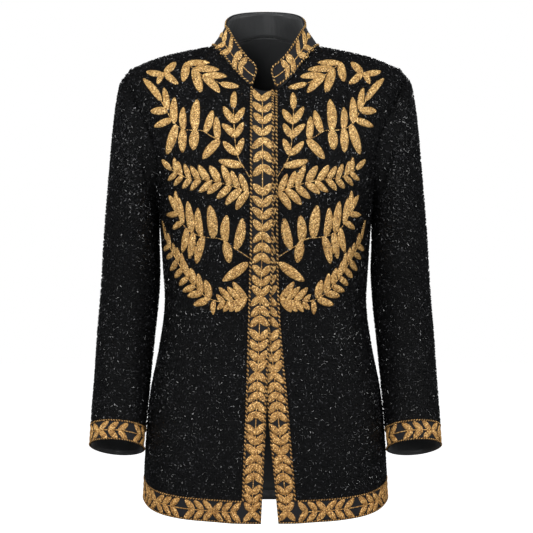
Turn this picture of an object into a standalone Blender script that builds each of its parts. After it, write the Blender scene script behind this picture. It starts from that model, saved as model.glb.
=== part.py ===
"""Beaded evening jacket with a stand collar, hollow as if worn, built as a maker would cut it.

Sizes are in millimetres, and make_node turns them into Blender's metres.
The origin lies midway between the two points where a shoulder seam meets the collar.
+X is the wearer's left, the front faces -Y and +Z is up.
Angles run round the body from the centre front, 90 degrees at the wearer's left side.
"""

from collections import namedtuple
from math import atan2, ceil, cos, degrees, pi, radians, sin, sqrt

import bmesh
import bpy
from mathutils import Vector

# Cloth, linings and the gold leaves laid on the cloth
CLOTH = 1.6
COLLAR_CLOTH = 2.2
LINING = 0.8
LEAF = 1.0
SEAM_GAP = 0.3
LAID_GAP = 0.7
HEM_GAP = 1.3
CUFF_GAP = 1.7
COLLAR_GAP = 0.9

# Lengths up the garment from the hem
HEM = 0.0
UNDERARM = 455.0
SHOULDER = 665.0
NECK = 810.0
BORDER_WIDTH = 30.0
LOWER_ROWS = (0, 30, 75, 125, 175, 220, 255, 285, 315, 345, 385, 425)
YOKE_ROWS = (690, 720, 750, 780, NECK)

# How many cells each panel has across, and round the armhole
BORDER_CELLS = 2
FRONT_CELLS = 8
BACK_CELLS = 13
ARMHOLE_CELLS = 16
COLLAR_CELLS = 20

# The armhole reaches this far round from the side seam, in degrees
ARMHOLE_FRONT = 22.0
ARMHOLE_BACK = 25.0
ARMHOLE_ROUNDNESS = 0.75
SLEEVE_HEAD_INSET = 0.4
SLEEVE_HEAD_DROP = 1.2

# A section is a rounded outline. ease says how its height runs from the side to the centre line
Section = namedtuple("Section", "up side_x side_z front_y front_z back_y back_z square ease")
BODY = (
    Section(0, 192, -709, -127, -737, 128, -737, 2.7, 1.4),
    Section(35, 190.5, -674, -126, -698, 127, -698, 2.7, 1.4),
    Section(100, 187, -610, -122, -630, 124, -630, 2.7, 1.4),
    Section(170, 180, -540, -117, -553, 118, -553, 2.6, 1.4),
    Section(240, 167, -475, -111, -482, 108, -482, 2.6, 1.4),
    Section(305, 158.5, -410, -108, -412, 100, -412, 2.5, 1.4),
    Section(365, 161, -350, -113, -350, 102, -350, 2.5, 1.4),
    Section(455, 168, -262, -124, -257, 112, -257, 2.5, 1.4),
    Section(520, 180, -200, -126, -202, 117, -192, 2.5, 1.4),
    Section(580, 198, -145, -119, -156, 116, -132, 2.5, 1.4),
    Section(625, 210, -93, -109, -127, 110, -87, 2.5, 1.4),
    Section(665, 217, -42, -99, -110, 101, -48, 2.4, 1.5),
    Section(700, 200, -30, -90, -99, 93, -22, 2.3, 1.7),
    Section(740, 165, -16.5, -82, -91, 84, -2, 2.2, 2.1),
    Section(780, 122, -6.5, -73, -83, 73, 15, 2.1, 2.5),
    Section(810, 85, 0, -66, -76, 62, 27, 2.0, 2.9),
)

# The collar's seam on the neck and its free top edge, with the front ends' places
COLLAR_SEAM = Section(0, 85, 1.0, -66, -75, 62, 28, 2.0, 2.9)
COLLAR_TOP = Section(40, 62, 34, -61, -38, 50, 65, 2.0, 2.3)
COLLAR_HEIGHTS = (0, 0.3, 0.6, 0.8, 0.93, 1)
COLLAR_BACK_EASE = 0.55
COLLAR_CENTRE_X = -2.5
COLLAR_SEAM_END = 18.8
COLLAR_TOP_END = 8.6
COLLAR_CORNER = 12.0
COLLAR_CORNER_FROM = 0.62

# Soft flutes that hang from the waist
Fold = namedtuple("Fold", "angle width depth top")
FOLDS = (
    Fold(-35, 15, -6, 330),
    Fold(-60, 17, 4, 280),
    Fold(32, 14, -5, 310),
    Fold(58, 17, 4, 290),
    Fold(118, 20, -5, 300),
    Fold(152, 20, -6, 340),
    Fold(206, 20, -6, 330),
    Fold(240, 20, -5, 290),
)

# Where the two front edges lie either side of the centre, at lengths up from the hem, and how wide
# their borders are
Edge = namedtuple("Edge", "up right_x left_x border")
FRONT_EDGES = (
    Edge(0, -6.7, 19.5, 29.0),
    Edge(60, -3.6, 13.4, 29.5),
    Edge(180, 2.2, 1.2, 30.2),
    Edge(300, 7.8, -12.0, 32.6),
    Edge(400, 12.0, -16.0, 34.0),
    Edge(560, 12.8, -17.4, 34.5),
    Edge(810, 12.4, -17.9, 34.5),
)
UNDERLAP_DEPTH = 4.2
UNDERLAP_CLEAR = 3.0
UNDERLAP_EASE = 60.0

# Sleeve sections down the arm: outer and inner points, middle, half depth and forward lean
SleeveRing = namedtuple("SleeveRing", "outer_x outer_z inner_x inner_z mid_y half_depth lean")
SLEEVE = (
    SleeveRing(228, -54, 169.8, -270, 0, 62, 0),
    SleeveRing(233.5, -72, 170, -277, 0, 64, 0),
    SleeveRing(238, -100, 170, -286, 1, 65, 0),
    SleeveRing(243, -145, 170, -300, 2, 65, 0),
    SleeveRing(249, -215, 169.5, -325, 3, 63.5, 0),
    SleeveRing(256, -300, 169, -362, 5, 60.5, 0),
    SleeveRing(261, -385, 172, -408, 6, 57, 2),
    SleeveRing(266, -450, 177.5, -462, 2, 53, 8),
    SleeveRing(269, -515, 182.5, -522, -12, 49, 14),
    SleeveRing(271.5, -575, 186.5, -580, -33, 45.5, 19),
    SleeveRing(272.5, -627, 189.5, -632, -55, 42.5, 23),
)
SLEEVE_END = float(len(SLEEVE))
SLEEVE_DOWNS = (0, 0.5, 1, 2, 3, 4, 5, 6, 7, 8, 9, 9.7, 10.4, SLEEVE_END)
CUFF_LINING_DOWNS = (9.7, 10.4, SLEEVE_END - 0.03)
CUFF_CENTRE = 10.72
CUFF_MM_PER_DOWN = 52.0
CUFF_START = 200.0

# Leaf sprays on each front. A place is a distance out from the jacket's centre line and a height.
# A row lists the leaves on one side of the stem: the share of the stem where each grows, its length,
# the way it points, in degrees from straight outwards, and its width
Row = namedtuple("Row", "at long way wide")
Tip = namedtuple("Tip", "long way wide")
Spray = namedtuple("Spray", "name stem over under tip")
SPRAYS = (
    Spray(
        "star", ((151, -45), (155, -46), (159, -47)),
        Row((0.3,), (24,), (131,), (13,)),
        Row((0.3, 0.75), (30, 21), (-139, -68), (12, 10)),
        Tip(27, 9, 11),
    ),
    Spray(
        "shoulder", ((122, -29), (94, -52), (66, -65)),
        Row((0.03, 0.26, 0.54), (32, 40, 40), (-82, -108, -131), (14, 15, 14)),
        Row((0.03, 0.26, 0.54), (35, 41, 38), (178, 182, 182), (11, 12, 12)),
        Tip(28, 187, 11),
    ),
    Spray(
        "long_upper", ((65, -157), (80, -150), (92, -142), (116, -140), (128, -136), (139, -125), (158, -92)),
        Row(
            (0.04, 0.22, 0.355, 0.5, 0.65, 0.84), (37, 37, 49, 37, 41, 38),
            (85, 107, 92, 85, 88, 82), (12, 13, 16, 12, 13, 11),
        ),
        Row(
            (0.02, 0.35, 0.51, 0.62, 0.71, 0.84), (40, 32, 37, 47, 30, 27),
            (-47, -83, -89, -75, -21, 3), (15, 16, 14, 15, 12, 13),
        ),
        Tip(49, 49, 12),
    ),
    Spray(
        "upright", ((21, -213), (39, -180), (45, -128), (46, -105)),
        Row((0.35, 0.59, 0.79), (28, 27, 28), (109, 122, 124), (11, 11, 12)),
        Row((0.18, 0.35, 0.59, 0.79), (37, 31, 29, 31), (12, 43, 45, 56), (13, 12, 12, 12)),
        Tip(29, 90, 11),
    ),
    Spray(
        "frond", ((21, -236.8), (52, -225), (84, -217), (119, -212), (142, -199)),
        Row(
            (0.03, 0.14, 0.25, 0.38, 0.51, 0.63, 0.74, 0.85, 0.92), (29, 29, 32, 31, 28, 24, 23, 24, 23),
            (67, 67, 66, 59, 58, 58, 70, 77, 80), (11, 11, 12, 13, 12, 10, 9, 9, 8),
        ),
        Row(
            (0.02, 0.11, 0.24, 0.36, 0.48, 0.61, 0.73, 0.83, 0.92), (32, 32, 29, 27, 25, 22, 20, 19, 17),
            (-55, -43, -43, -39, -45, -49, -50, -48, -40), (13, 13, 12, 12, 11, 10, 10, 9, 9),
        ),
        Tip(22, 46, 9),
    ),
    Spray(
        "long_lower", ((22, -334.5), (52, -315), (66, -306), (90, -303), (108, -297), (121, -286), (133, -264)),
        Row(
            (0.17, 0.31, 0.455, 0.59, 0.705, 0.85, 0.96), (47, 40, 50, 45, 51, 41, 38),
            (100, 91, 84, 83, 81, 84, 83), (16, 15, 17, 13, 13, 10, 9),
        ),
        Row(
            (0.31, 0.57, 0.69, 0.78, 0.87, 0.97), (34, 45, 38, 37, 19, 20),
            (-99, -78, -79, -80, -36, 0), (15, 14, 13, 12, 10, 10),
        ),
        Tip(28, 61, 9),
    ),
    Spray(
        "low_leaf", ((22.5, -341), (23.5, -342), (24.5, -343)),
        Row((), (), (), ()),
        Row((), (), (), ()),
        Tip(47, -35, 16),
    ),
    Spray(
        "arc", ((23.5, -394.8), (58, -402), (78, -399), (92, -391), (114, -368), (132, -341), (153, -304)),
        Row(
            (0.02, 0.075, 0.14, 0.21, 0.34, 0.42, 0.52, 0.6, 0.67, 0.76, 0.83, 0.91),
            (31, 26, 28, 17, 30, 30, 28, 27, 28, 23, 20, 23),
            (51, 43, 46, 45, 78, 81, 82, 79, 82, 88, 84, 84), (12, 10, 11, 8, 13, 11, 11, 9, 8, 8, 7, 8),
        ),
        Row(
            (0.02, 0.085, 0.15, 0.215, 0.295, 0.34, 0.42, 0.51, 0.6, 0.69, 0.78, 0.85, 0.925),
            (28, 23, 20, 15, 21, 26, 23, 20, 19, 19, 20, 15, 13),
            (-56, -53, -54, -54, -86, -24, -13, -27, -40, -50, -57, -43, -40),
            (12, 11, 10, 9, 9, 12, 12, 11, 10, 10, 10, 9, 9),
        ),
        Tip(30, 78, 5),
    ),
)
SPRAY_CENTRE_X = -3.0
STEM_WIDTH = 2.0
STEM_RUNG = 18.0
LEAF_BASE = 2.8
LEAF_RUNGS = ((0.34, 1.0), (0.7, 0.8))
SHORT_LEAF = 31.5
SHORT_LEAF_RUNGS = ((0.45, 1.0),)

# A plate is this share of its leaf's width, and narrower where crowded leaves have to stay apart
PLATE_SHARE = 0.86
LEAF_CLEAR = 1.0
LEAST_WIDTH = 3.0

# The collar's sprays, in distance from its front end and height up it
COLLAR_SPRAY = Spray(
    "spray", ((2, 15), (28, 15), (50, 13.5), (74, 14), (98, 18)),
    Row((0.32, 0.44, 0.6, 0.8), (17, 17, 27, 25), (88, 82, 42, 40), (11, 13, 8, 9)),
    Row((0.34, 0.46, 0.62, 0.77), (20, 20, 16, 17), (-138, -136, -80, -68), (8, 9, 11, 12)),
    Tip(16, 10, 8),
)
COLLAR_MM_PER_DEGREE = 1.6
COLLAR_ACROSS = 33.0
COLLAR_SLANT = 15.0
COLLAR_SLANT_ENDS = (45.0, 75.0)

# Steps of the search for the place on the front under a point of a spray
PLACE_ROUNDS = 16
PLACE_TURN = 8.0
PLACE_RISE = 40.0

# Groups of leaf pairs down the front borders. A group starts this far below the neck edge, as seen
# from the front. way is -1 for pairs that point up and 1 for pairs that point down
Group = namedtuple("Group", "at pitch count way long")
FRONT_GROUPS = (
    Group(16.5, 18.6, 4, -1, 20),
    Group(79, 20.5, 3, 1, 21),
    Group(163, 18.1, 4, -1, 21.5),
    Group(222, 16, 3, 1, 19.5),
    Group(285.5, 15.2, 3, -1, 20),
    Group(319, 15.2, 3, 1, 20),
    Group(383, 16, 4, -1, 21),
    Group(434.5, 14.9, 5, 1, 19.5),
    Group(525.5, 15, 3, -1, 20.5),
    Group(558.5, 13.8, 3, 1, 19.5),
    Group(615.5, 13, 3, -1, 18),
    Group(643.8, 13, 1, 1, 18),
)

# The pairs of the other borders: groups of this many point one way, then the other, and the groups
# part where the leaves' tips meet
Garland = namedtuple("Garland", "pitch count long")
HEM_GARLAND = Garland(14.2, 3, 19)
CUFF_GARLAND = Garland(15.6, 3, 19)
TIPS_PART = 10.5
PAIR_START = 5.8
PAIR_BASE = 8.2
PAIR_TURN = 43.0
PAIR_FIRST = 0.7
FRONT_STEPS = 60

Finish = namedtuple("Finish", "colour roughness metallic")
BEADED_BLACK = Finish((0.012, 0.012, 0.013), 0.35, 0.0)
PLAIN_BLACK = Finish((0.02, 0.02, 0.021), 0.8, 0.0)
LINING_GREY = Finish((0.05, 0.05, 0.053), 0.5, 0.0)
GOLD = Finish((0.55, 0.34, 0.12), 0.45, 0.6)


def curve_value(places, values, at):
    """A smooth curve through a column of a table, read at one place."""
    last = len(places) - 1
    at = min(max(at, places[0]), places[last])
    i = 0
    while i < last - 1 and at > places[i + 1]:
        i += 1
    slopes = []
    for k in (i, i + 1):
        low, high = max(k - 1, 0), min(k + 1, last)
        slopes.append((values[high] - values[low]) / (places[high] - places[low]))
    span = places[i + 1] - places[i]
    t = (at - places[i]) / span
    return (
        (2 * t**3 - 3 * t**2 + 1) * values[i]
        + (t**3 - 2 * t**2 + t) * span * slopes[0]
        + (3 * t**2 - 2 * t**3) * values[i + 1]
        + (t**3 - t**2) * span * slopes[1]
    )


def read_table(table, at):
    """A row of a table whose first column is the place, read between its rows."""
    columns = list(zip(*table))
    values = [curve_value(columns[0], column, at) for column in columns[1:]]
    return type(table[0])(at, *values)


def mix(start, end, share):
    return start + (end - start) * share


def spread(start, end, steps):
    return [mix(start, end, i / steps) for i in range(steps + 1)]


def smooth_step(low, high, value):
    t = min(max((value - low) / (high - low), 0.0), 1.0)
    return t * t * (3 - 2 * t)


def section_point(section, angle):
    """A point of a rounded section at an angle, in degrees from the centre front."""
    across, along = sin(radians(angle)), cos(radians(angle))
    depth = -section.front_y if along >= 0 else section.back_y
    centre_z = section.front_z if along >= 0 else section.back_z
    power = section.square
    reach = (abs(across / section.side_x) ** power + abs(along / depth) ** power) ** (-1 / power)
    share = abs(reach * along) / depth
    height = section.side_z + (centre_z - section.side_z) * share**section.ease
    return Vector((reach * across, -reach * along, height))


def fold_depth(angle, up):
    """How far the hanging flutes move the cloth in or out."""
    total = 0.0
    for fold in FOLDS:
        apart = (angle - fold.angle + 180) % 360 - 180
        if abs(apart) < fold.width and up < fold.top:
            total += fold.depth * cos(pi / 2 * apart / fold.width) ** 2 * (1 - up / fold.top) ** 1.3
    return total


def body_skin(angle, up):
    point = section_point(read_table(BODY, up), angle)
    outward = Vector((point.x, point.y, 0)).normalized()
    return point + outward * fold_depth(angle, up)


def body_point(angle, up, out=0.0):
    """A point on the body of the jacket, moved out along the cloth's normal."""
    point = body_skin(angle, up)
    if out == 0.0:
        return point
    around = body_skin(angle + 0.5, up) - body_skin(angle - 0.5, up)
    upward = body_skin(angle, min(up + 2, NECK)) - body_skin(angle, max(up - 2, HEM))
    return point + around.cross(upward).normalized() * out


def edge_angle(edge_x, up):
    """The angle at which a vertical line of the front, this far from the centre, meets a height."""
    return degrees(atan2(edge_x, -read_table(BODY, up).front_y))


def right_edge_x(up):
    return read_table(FRONT_EDGES, up).right_x


def left_edge_x(up):
    return read_table(FRONT_EDGES, up).left_x


def front_border(up):
    return read_table(FRONT_EDGES, up).border


def underlap(angle, up):
    """How far the left front lies behind the right one where the two lap."""
    beyond = body_skin(angle, up).x - right_edge_x(up)
    return -UNDERLAP_DEPTH * (1 - smooth_step(UNDERLAP_CLEAR, UNDERLAP_CLEAR + UNDERLAP_EASE, beyond))


def left_front_point(angle, up, out=0.0):
    return body_point(angle, up, out + underlap(angle, up))


def armhole_up(turn):
    """The length up at a turn round the armhole, 0 at the shoulder and 180 at the underarm."""
    return UNDERARM + (SHOULDER - UNDERARM) * (1 + cos(radians(turn))) / 2


def armhole_angle(up, reach):
    """How far round from the side seam the armhole reaches at this length up."""
    if not UNDERARM < up < SHOULDER:
        return 0.0
    share = (up - UNDERARM) / (SHOULDER - UNDERARM)
    return reach * sin(pi * share) ** ARMHOLE_ROUNDNESS


ARMHOLE_ROWS = [armhole_up(180 - 360 * i / ARMHOLE_CELLS) for i in range(ARMHOLE_CELLS // 2 + 1)]
BODY_ROWS = [*LOWER_ROWS, *ARMHOLE_ROWS, *YOKE_ROWS]


def gap_angle(angle, up, gap):
    """The turn round the body that moves a point by this gap."""
    return gap / (body_skin(angle + 0.5, up) - body_skin(angle - 0.5, up)).length


def thicken(outer, inner, faces):
    """A closed body between two matching skins, with a rim along the free edges."""
    count = len(outer)
    edges = {(a, b) for face in faces for a, b in zip(face, face[1:] + face[:1])}
    rim = [edge for edge in sorted(edges) if edge[::-1] not in edges]
    body = faces + [[corner + count for corner in face[::-1]] for face in faces]
    body += [[b, a, a + count, b + count] for a, b in rim]
    return outer + inner, body


def grid_wall(point_at, rows, thickness, out=0.0, closed=False):
    """A wall of cloth on rows of places. Each cell is split along its shorter diagonal."""
    outer = [point_at(*place, out) for row in rows for place in row]
    inner = [point_at(*place, out - thickness) for row in rows for place in row]
    wide = len(rows[0])
    faces = []
    for i in range(len(rows) - 1):
        for j in range(wide if closed else wide - 1):
            after = (j + 1) % wide
            a, b = i * wide + j, i * wide + after
            c, d = (i + 1) * wide + after, (i + 1) * wide + j
            if (outer[a] - outer[c]).length < (outer[b] - outer[d]).length:
                faces += [[a, b, c], [a, c, d]]
            else:
                faces += [[a, b, d], [b, c, d]]
    return thicken(outer, inner, faces)


def material_of(name, finish):
    material = bpy.data.materials.new(name)
    material.use_nodes = True
    shader = material.node_tree.nodes["Principled BSDF"]
    shader.inputs["Base Color"].default_value = (*finish.colour, 1)
    shader.inputs["Roughness"].default_value = finish.roughness
    shader.inputs["Metallic"].default_value = finish.metallic
    return material


def make_node(name, solid, finish, mirrored=False):
    """One named solid, in metres. A mirrored one is the wearer's right-hand copy."""
    points, faces = solid
    side = -1 if mirrored else 1
    shape = bmesh.new()
    corners = [shape.verts.new((side * p.x / 1000, p.y / 1000, p.z / 1000)) for p in points]
    for face in faces:
        shape.faces.new([corners[k] for k in face])
    bmesh.ops.recalc_face_normals(shape, faces=shape.faces)
    mesh = bpy.data.meshes.new(name)
    shape.to_mesh(mesh)
    shape.free()
    mesh.materials.append(material_of(name, finish))
    mesh.shade_smooth()
    bpy.context.scene.collection.objects.link(bpy.data.objects.new(name, mesh))


def front_rows(edge_x, side):
    """Rows of places for a front, from its edge to the side seam or the armhole.

    side is 1 for the wearer's left front and -1 for the right one.
    """
    rows = []
    for up in BODY_ROWS:
        edge = edge_angle(edge_x(up), up)
        line = edge_angle(edge_x(up) + side * front_border(up), up)
        seam = side * (90 - armhole_angle(up, ARMHOLE_FRONT))
        seam -= side * gap_angle(seam, up, SEAM_GAP / 2)
        across = spread(edge, line, BORDER_CELLS) + spread(line, seam, FRONT_CELLS)[1:]
        rows.append([(angle, up) for angle in across[::side]])
    return rows


def back_rows():
    rows = []
    for up in BODY_ROWS:
        start = 90 + armhole_angle(up, ARMHOLE_BACK)
        start += gap_angle(start, up, SEAM_GAP / 2)
        rows.append([(angle, up) for angle in spread(start, 360 - start, BACK_CELLS)])
    return rows


def make_body():
    """The two fronts, the back and the back's lining."""
    make_node("front_right", grid_wall(body_point, front_rows(right_edge_x, -1), CLOTH), BEADED_BLACK)
    make_node("front_left", grid_wall(left_front_point, front_rows(left_edge_x, 1), CLOTH), BEADED_BLACK)
    make_node("back", grid_wall(body_point, back_rows(), CLOTH), BEADED_BLACK)
    inside = [row[1:-1] for row in back_rows()]
    make_node("back_lining", grid_wall(body_point, inside, LINING, -CLOTH - SEAM_GAP), LINING_GREY)


def armhole_point(turn, out):
    """A point of the sleeve's head, just inside the edge of the left armhole."""
    side, reach = (1, ARMHOLE_FRONT) if turn % 360 < 180 else (-1, ARMHOLE_BACK)
    up = armhole_up(turn)
    angle = 90 - side * max(armhole_angle(up, reach) - SLEEVE_HEAD_INSET, 0)
    return body_point(angle, up - SLEEVE_HEAD_DROP * cos(radians(turn)), out)


def sleeve_ring_point(ring, turn):
    """A point of a sleeve section: turn 0 is the outer side, 90 the front, 180 the inner side."""
    centre = Vector(((ring.outer_x + ring.inner_x) / 2, ring.mid_y, (ring.outer_z + ring.inner_z) / 2))
    across = Vector(((ring.outer_x - ring.inner_x) / 2, 0, (ring.outer_z - ring.inner_z) / 2))
    lean = radians(ring.lean)
    forward = Vector((0, -cos(lean), sin(lean))) * ring.half_depth
    return centre + across * cos(radians(turn)) + forward * sin(radians(turn))


def sleeve_skin(turn, down):
    """A point on the sleeve: down runs from 0 at the armhole through the table's sections."""
    stations = [armhole_point(turn, 0.0)] + [sleeve_ring_point(ring, turn) for ring in SLEEVE]
    places = list(range(len(stations)))
    return Vector([curve_value(places, [p[axis] for p in stations], down) for axis in range(3)])


def sleeve_point(turn, down, out=0.0):
    point = sleeve_skin(turn, down)
    if out == 0.0:
        return point
    around = sleeve_skin(turn + 2, down) - sleeve_skin(turn - 2, down)
    along = sleeve_skin(turn, min(down + 0.1, SLEEVE_END)) - sleeve_skin(turn, max(down - 0.1, 0))
    normal = around.cross(along).normalized()
    shared = max(cos(radians(turn)), 0.0) * max(1 - 2 * down, 0.0)
    if shared > 0:
        body_normal = (armhole_point(turn, 1.0) - armhole_point(turn, 0.0)).normalized()
        normal = normal.lerp(body_normal, shared).normalized()
    return point + normal * out


def sleeve_rows(downs):
    turns = [360 * j / ARMHOLE_CELLS for j in range(ARMHOLE_CELLS)]
    return [[(turn, down) for turn in turns] for down in downs]


def make_sleeves():
    """The sleeves, set in at the armholes, and the linings that show inside the cuffs."""
    sleeve = grid_wall(sleeve_point, sleeve_rows(SLEEVE_DOWNS), CLOTH, closed=True)
    rows = sleeve_rows(CUFF_LINING_DOWNS)
    lining = grid_wall(sleeve_point, rows, LINING, -CLOTH - SEAM_GAP, closed=True)
    for side, mirrored in (("left", False), ("right", True)):
        make_node(f"sleeve_{side}", sleeve, BEADED_BLACK, mirrored)
        make_node(f"cuff_lining_{side}", lining, LINING_GREY, mirrored)


def collar_skin(angle, share):
    section = Section(*[mix(low, high, share) for low, high in zip(COLLAR_SEAM, COLLAR_TOP)])
    if cos(radians(angle)) < 0:
        section = section._replace(ease=mix(COLLAR_SEAM.ease, COLLAR_BACK_EASE, share))
    return section_point(section, angle)


def collar_point(angle, share, out=0.0):
    """A point on the stand collar, from the neck seam to the free edge."""
    around = collar_skin(angle + 0.5, share) - collar_skin(angle - 0.5, share)
    upward = collar_skin(angle, share + 0.05) - collar_skin(angle, share - 0.05)
    return collar_skin(angle, share) + around.cross(upward).normalized() * out


def collar_end_angle(share, side):
    """Where the collar's front end lies, its top corner rounded."""
    end = mix(COLLAR_SEAM_END, COLLAR_TOP_END, share)
    bend = max((share - COLLAR_CORNER_FROM) / (1 - COLLAR_CORNER_FROM), 0)
    end += COLLAR_CORNER * (1 - sqrt(1 - bend**2))
    return degrees(atan2(side * end + COLLAR_CENTRE_X, -COLLAR_SEAM.front_y))


def make_collar():
    rows = []
    for share in COLLAR_HEIGHTS:
        start, end = collar_end_angle(share, 1), collar_end_angle(share, -1) + 360
        rows.append([(angle, share) for angle in spread(start, end, COLLAR_CELLS)])
    make_node("collar", grid_wall(collar_point, rows, COLLAR_CLOTH), PLAIN_BLACK)
    lining = grid_wall(collar_point, rows, LINING, -COLLAR_CLOTH - SEAM_GAP)
    make_node("collar_lining", lining, LINING_GREY)


def front_place(x, z):
    """The place on the front whose skin lies at this x and z, found by Newton's method."""
    angle, up = degrees(atan2(x, -BODY[0].front_y)), z - BODY[0].side_z
    for _ in range(PLACE_ROUNDS):
        here = body_skin(angle, up)
        turned = (body_skin(angle + 0.2, up) - here) / 0.2
        raised = body_skin(angle, up + 1) - here
        miss_x, miss_z = x - here.x, z - here.z
        scale = turned.x * raised.z - raised.x * turned.z
        turn = (miss_x * raised.z - raised.x * miss_z) / scale
        rise = (turned.x * miss_z - miss_x * turned.z) / scale
        angle += min(max(turn, -PLACE_TURN), PLACE_TURN)
        up = min(max(up + min(max(rise, -PLACE_RISE), PLACE_RISE), HEM + 1), NECK - 2)
    return angle, up


def lengths_along(points):
    """The distance along a line of points to each of them."""
    lengths = [0.0]
    for before, after in zip(points, points[1:]):
        lengths.append(lengths[-1] + (after - before).length)
    return lengths


def stem_at(stem, share):
    """A point of the smooth line through a stem's places, and its direction."""
    marks = lengths_along([Vector(place) for place in stem])
    at = share * marks[-1]
    point, ahead, behind = (
        Vector([curve_value(marks, column, place) for column in zip(*stem)]) for place in (at, at + 1, at - 1)
    )
    return point, (ahead - behind).normalized()


def plate_widths(row, stem, long):
    """How wide a row's plates can be without touching each other."""
    widths = []
    for k, (at, way, wide) in enumerate(zip(row.at, row.way, row.wide)):
        direction = stem_at(stem, at)[1]
        opening = abs(sin(radians(way) - atan2(direction.y, direction.x)))
        pitch = min([abs(at - other) * long for other in row.at if other != at] or [wide])
        widths.append(min(wide * PLATE_SHARE, max(pitch * opening - LEAF_CLEAR, LEAST_WIDTH)))
    return widths


def add_leaf(points, faces, base, way, length, width):
    """A leaf's outline that grows from the edge between some points of a stem."""
    direction = Vector((cos(radians(way)), sin(radians(way))))
    middle = (points[base[0]] + points[base[-1]]) / 2
    across = Vector((-direction.y, direction.x)) * width / 2
    if (points[base[-1]] - points[base[0]]).dot(across) < 0:
        across = -across
    rung = list(base)
    for share, part in LEAF_RUNGS if length > SHORT_LEAF else SHORT_LEAF_RUNGS:
        centre = middle + direction * length * share
        points += [centre - across * part, centre + across * part]
        faces.append([*rung, len(points) - 1, len(points) - 2])
        rung = [len(points) - 2, len(points) - 1]
    points.append(middle + direction * length)
    faces.append([*rung, len(points) - 1])


def spray_outline(spray):
    """The flat outline of a spray: a thin stem with leaves on both sides and a leaf at its tip."""
    points, faces = [], []
    long = lengths_along([Vector(place) for place in spray.stem])[-1]
    half = LEAF_BASE / 2 / long
    ends = {share + end * half for row in (spray.over, spray.under) for share in row.at for end in (-1, 1)}
    rungs = [0.0]
    for share in [*sorted(ends), 1.0]:
        steps = max(ceil((share - rungs[-1]) * long / STEM_RUNG), 1)
        rungs += spread(rungs[-1], share, steps)[1:-1] + [share]
    for share in rungs:
        point, direction = stem_at(spray.stem, share)
        across = Vector((-direction.y, direction.x)) * STEM_WIDTH / 2
        points += [point + across, point - across]
    for k in range(len(rungs) - 1):
        faces.append([2 * k, 2 * k + 1, 2 * k + 3, 2 * k + 2])
    for offset, row in enumerate((spray.over, spray.under)):
        widths = plate_widths(row, spray.stem, long)
        for share, length, way, width in zip(row.at, row.long, row.way, widths):
            first, last = rungs.index(share - half), rungs.index(share + half)
            base = [2 * k + offset for k in range(first, last + 1)]
            add_leaf(points, faces, base, way, length, width)
    base = (2 * len(rungs) - 2, 2 * len(rungs) - 1)
    add_leaf(points, faces, base, spray.tip.way, spray.tip.long, spray.tip.wide * PLATE_SHARE)
    return points, faces


def one_way(points, faces):
    """The faces of a flat outline, all listed the same way round."""
    turned = []
    for face in faces:
        corners = [points[k] for k in face]
        area = sum(a.x * b.y - a.y * b.x for a, b in zip(corners, corners[1:] + corners[:1]))
        turned.append(face if area > 0 else face[::-1])
    return turned


def collar_place(back, height, side):
    """The place on the collar a distance back from its front end, and a height square to its edges."""
    share, turn = height / COLLAR_ACROSS, back / COLLAR_MM_PER_DEGREE
    slant = COLLAR_SLANT * (1 - smooth_step(*COLLAR_SLANT_ENDS, turn)) * (share - 0.5)
    return collar_end_angle(0.5, side) + side * (turn - slant), share


def laid_plate(point_at, places, faces, gap=LAID_GAP):
    """A plate as thick as a padded leaf that follows the cloth under it."""
    outer = [point_at(*place, gap + LEAF) for place in places]
    inner = [point_at(*place, gap) for place in places]
    return thicken(outer, inner, faces)


def make_sprays():
    """The gold sprays on the fronts and round the collar."""
    for side, name, point_at in ((-1, "right", body_point), (1, "left", left_front_point)):
        for spray in SPRAYS:
            points, faces = spray_outline(spray)
            places = [front_place(SPRAY_CENTRE_X + side * p.x, p.y) for p in points]
            make_node(f"{spray.name}_{name}", laid_plate(point_at, places, one_way(points, faces)), GOLD)
        points, faces = spray_outline(COLLAR_SPRAY)
        places = [collar_place(p.x, p.y, side) for p in points]
        plate = laid_plate(collar_point, places, one_way(points, faces), COLLAR_GAP)
        make_node(f"collar_spray_{name}", plate, GOLD)


Pair = namedtuple("Pair", "at way long")


def pairs_of(groups):
    """Every leaf pair of some groups: where it starts on the stem, its way and its length."""
    return [Pair(group.at + k * group.pitch, group.way, group.long) for group in groups for k in range(group.count)]


def even_pairs(garland, length):
    """The leaf pairs of a border that repeats evenly along its length."""
    pairs = []
    along = garland.pitch * PAIR_FIRST
    while along < length - garland.pitch * PAIR_FIRST:
        way = -1 if len(pairs) // garland.count % 2 == 0 else 1
        if pairs and way < pairs[-1].way:
            along += TIPS_PART
        pairs.append(Pair(along - way * PAIR_START, way, garland.long))
        along += garland.pitch
    return pairs


def border_outline(pairs):
    """The flat outline of a border: leaf pairs on a thin stem, as distance along and across."""
    points, faces = [], []
    half = STEM_WIDTH / 2
    for pair in pairs:
        first = len(points)
        ends = sorted((pair.at, pair.at + pair.way * PAIR_BASE))
        tip = pair.at + pair.way * pair.long * cos(radians(PAIR_TURN))
        rise = pair.long * sin(radians(PAIR_TURN))
        points += [Vector((end, side * half)) for end in ends for side in (1, -1)]
        points += [Vector((tip, rise)), Vector((tip, -rise))]
        if first:
            faces.append([first - 4, first - 3, first + 1, first])
        faces.append([first, first + 1, first + 3, first + 2])
        faces += [[first, first + 2, first + 4], [first + 1, first + 3, first + 5]]
    return points, one_way(points, faces)


def make_border(name, pairs, gap, point_at, place_of, mirrored=False):
    points, faces = border_outline(pairs)
    places = [place_of(point.x, point.y) for point in points]
    make_node(name, laid_plate(point_at, places, faces, gap), GOLD, mirrored)


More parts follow.
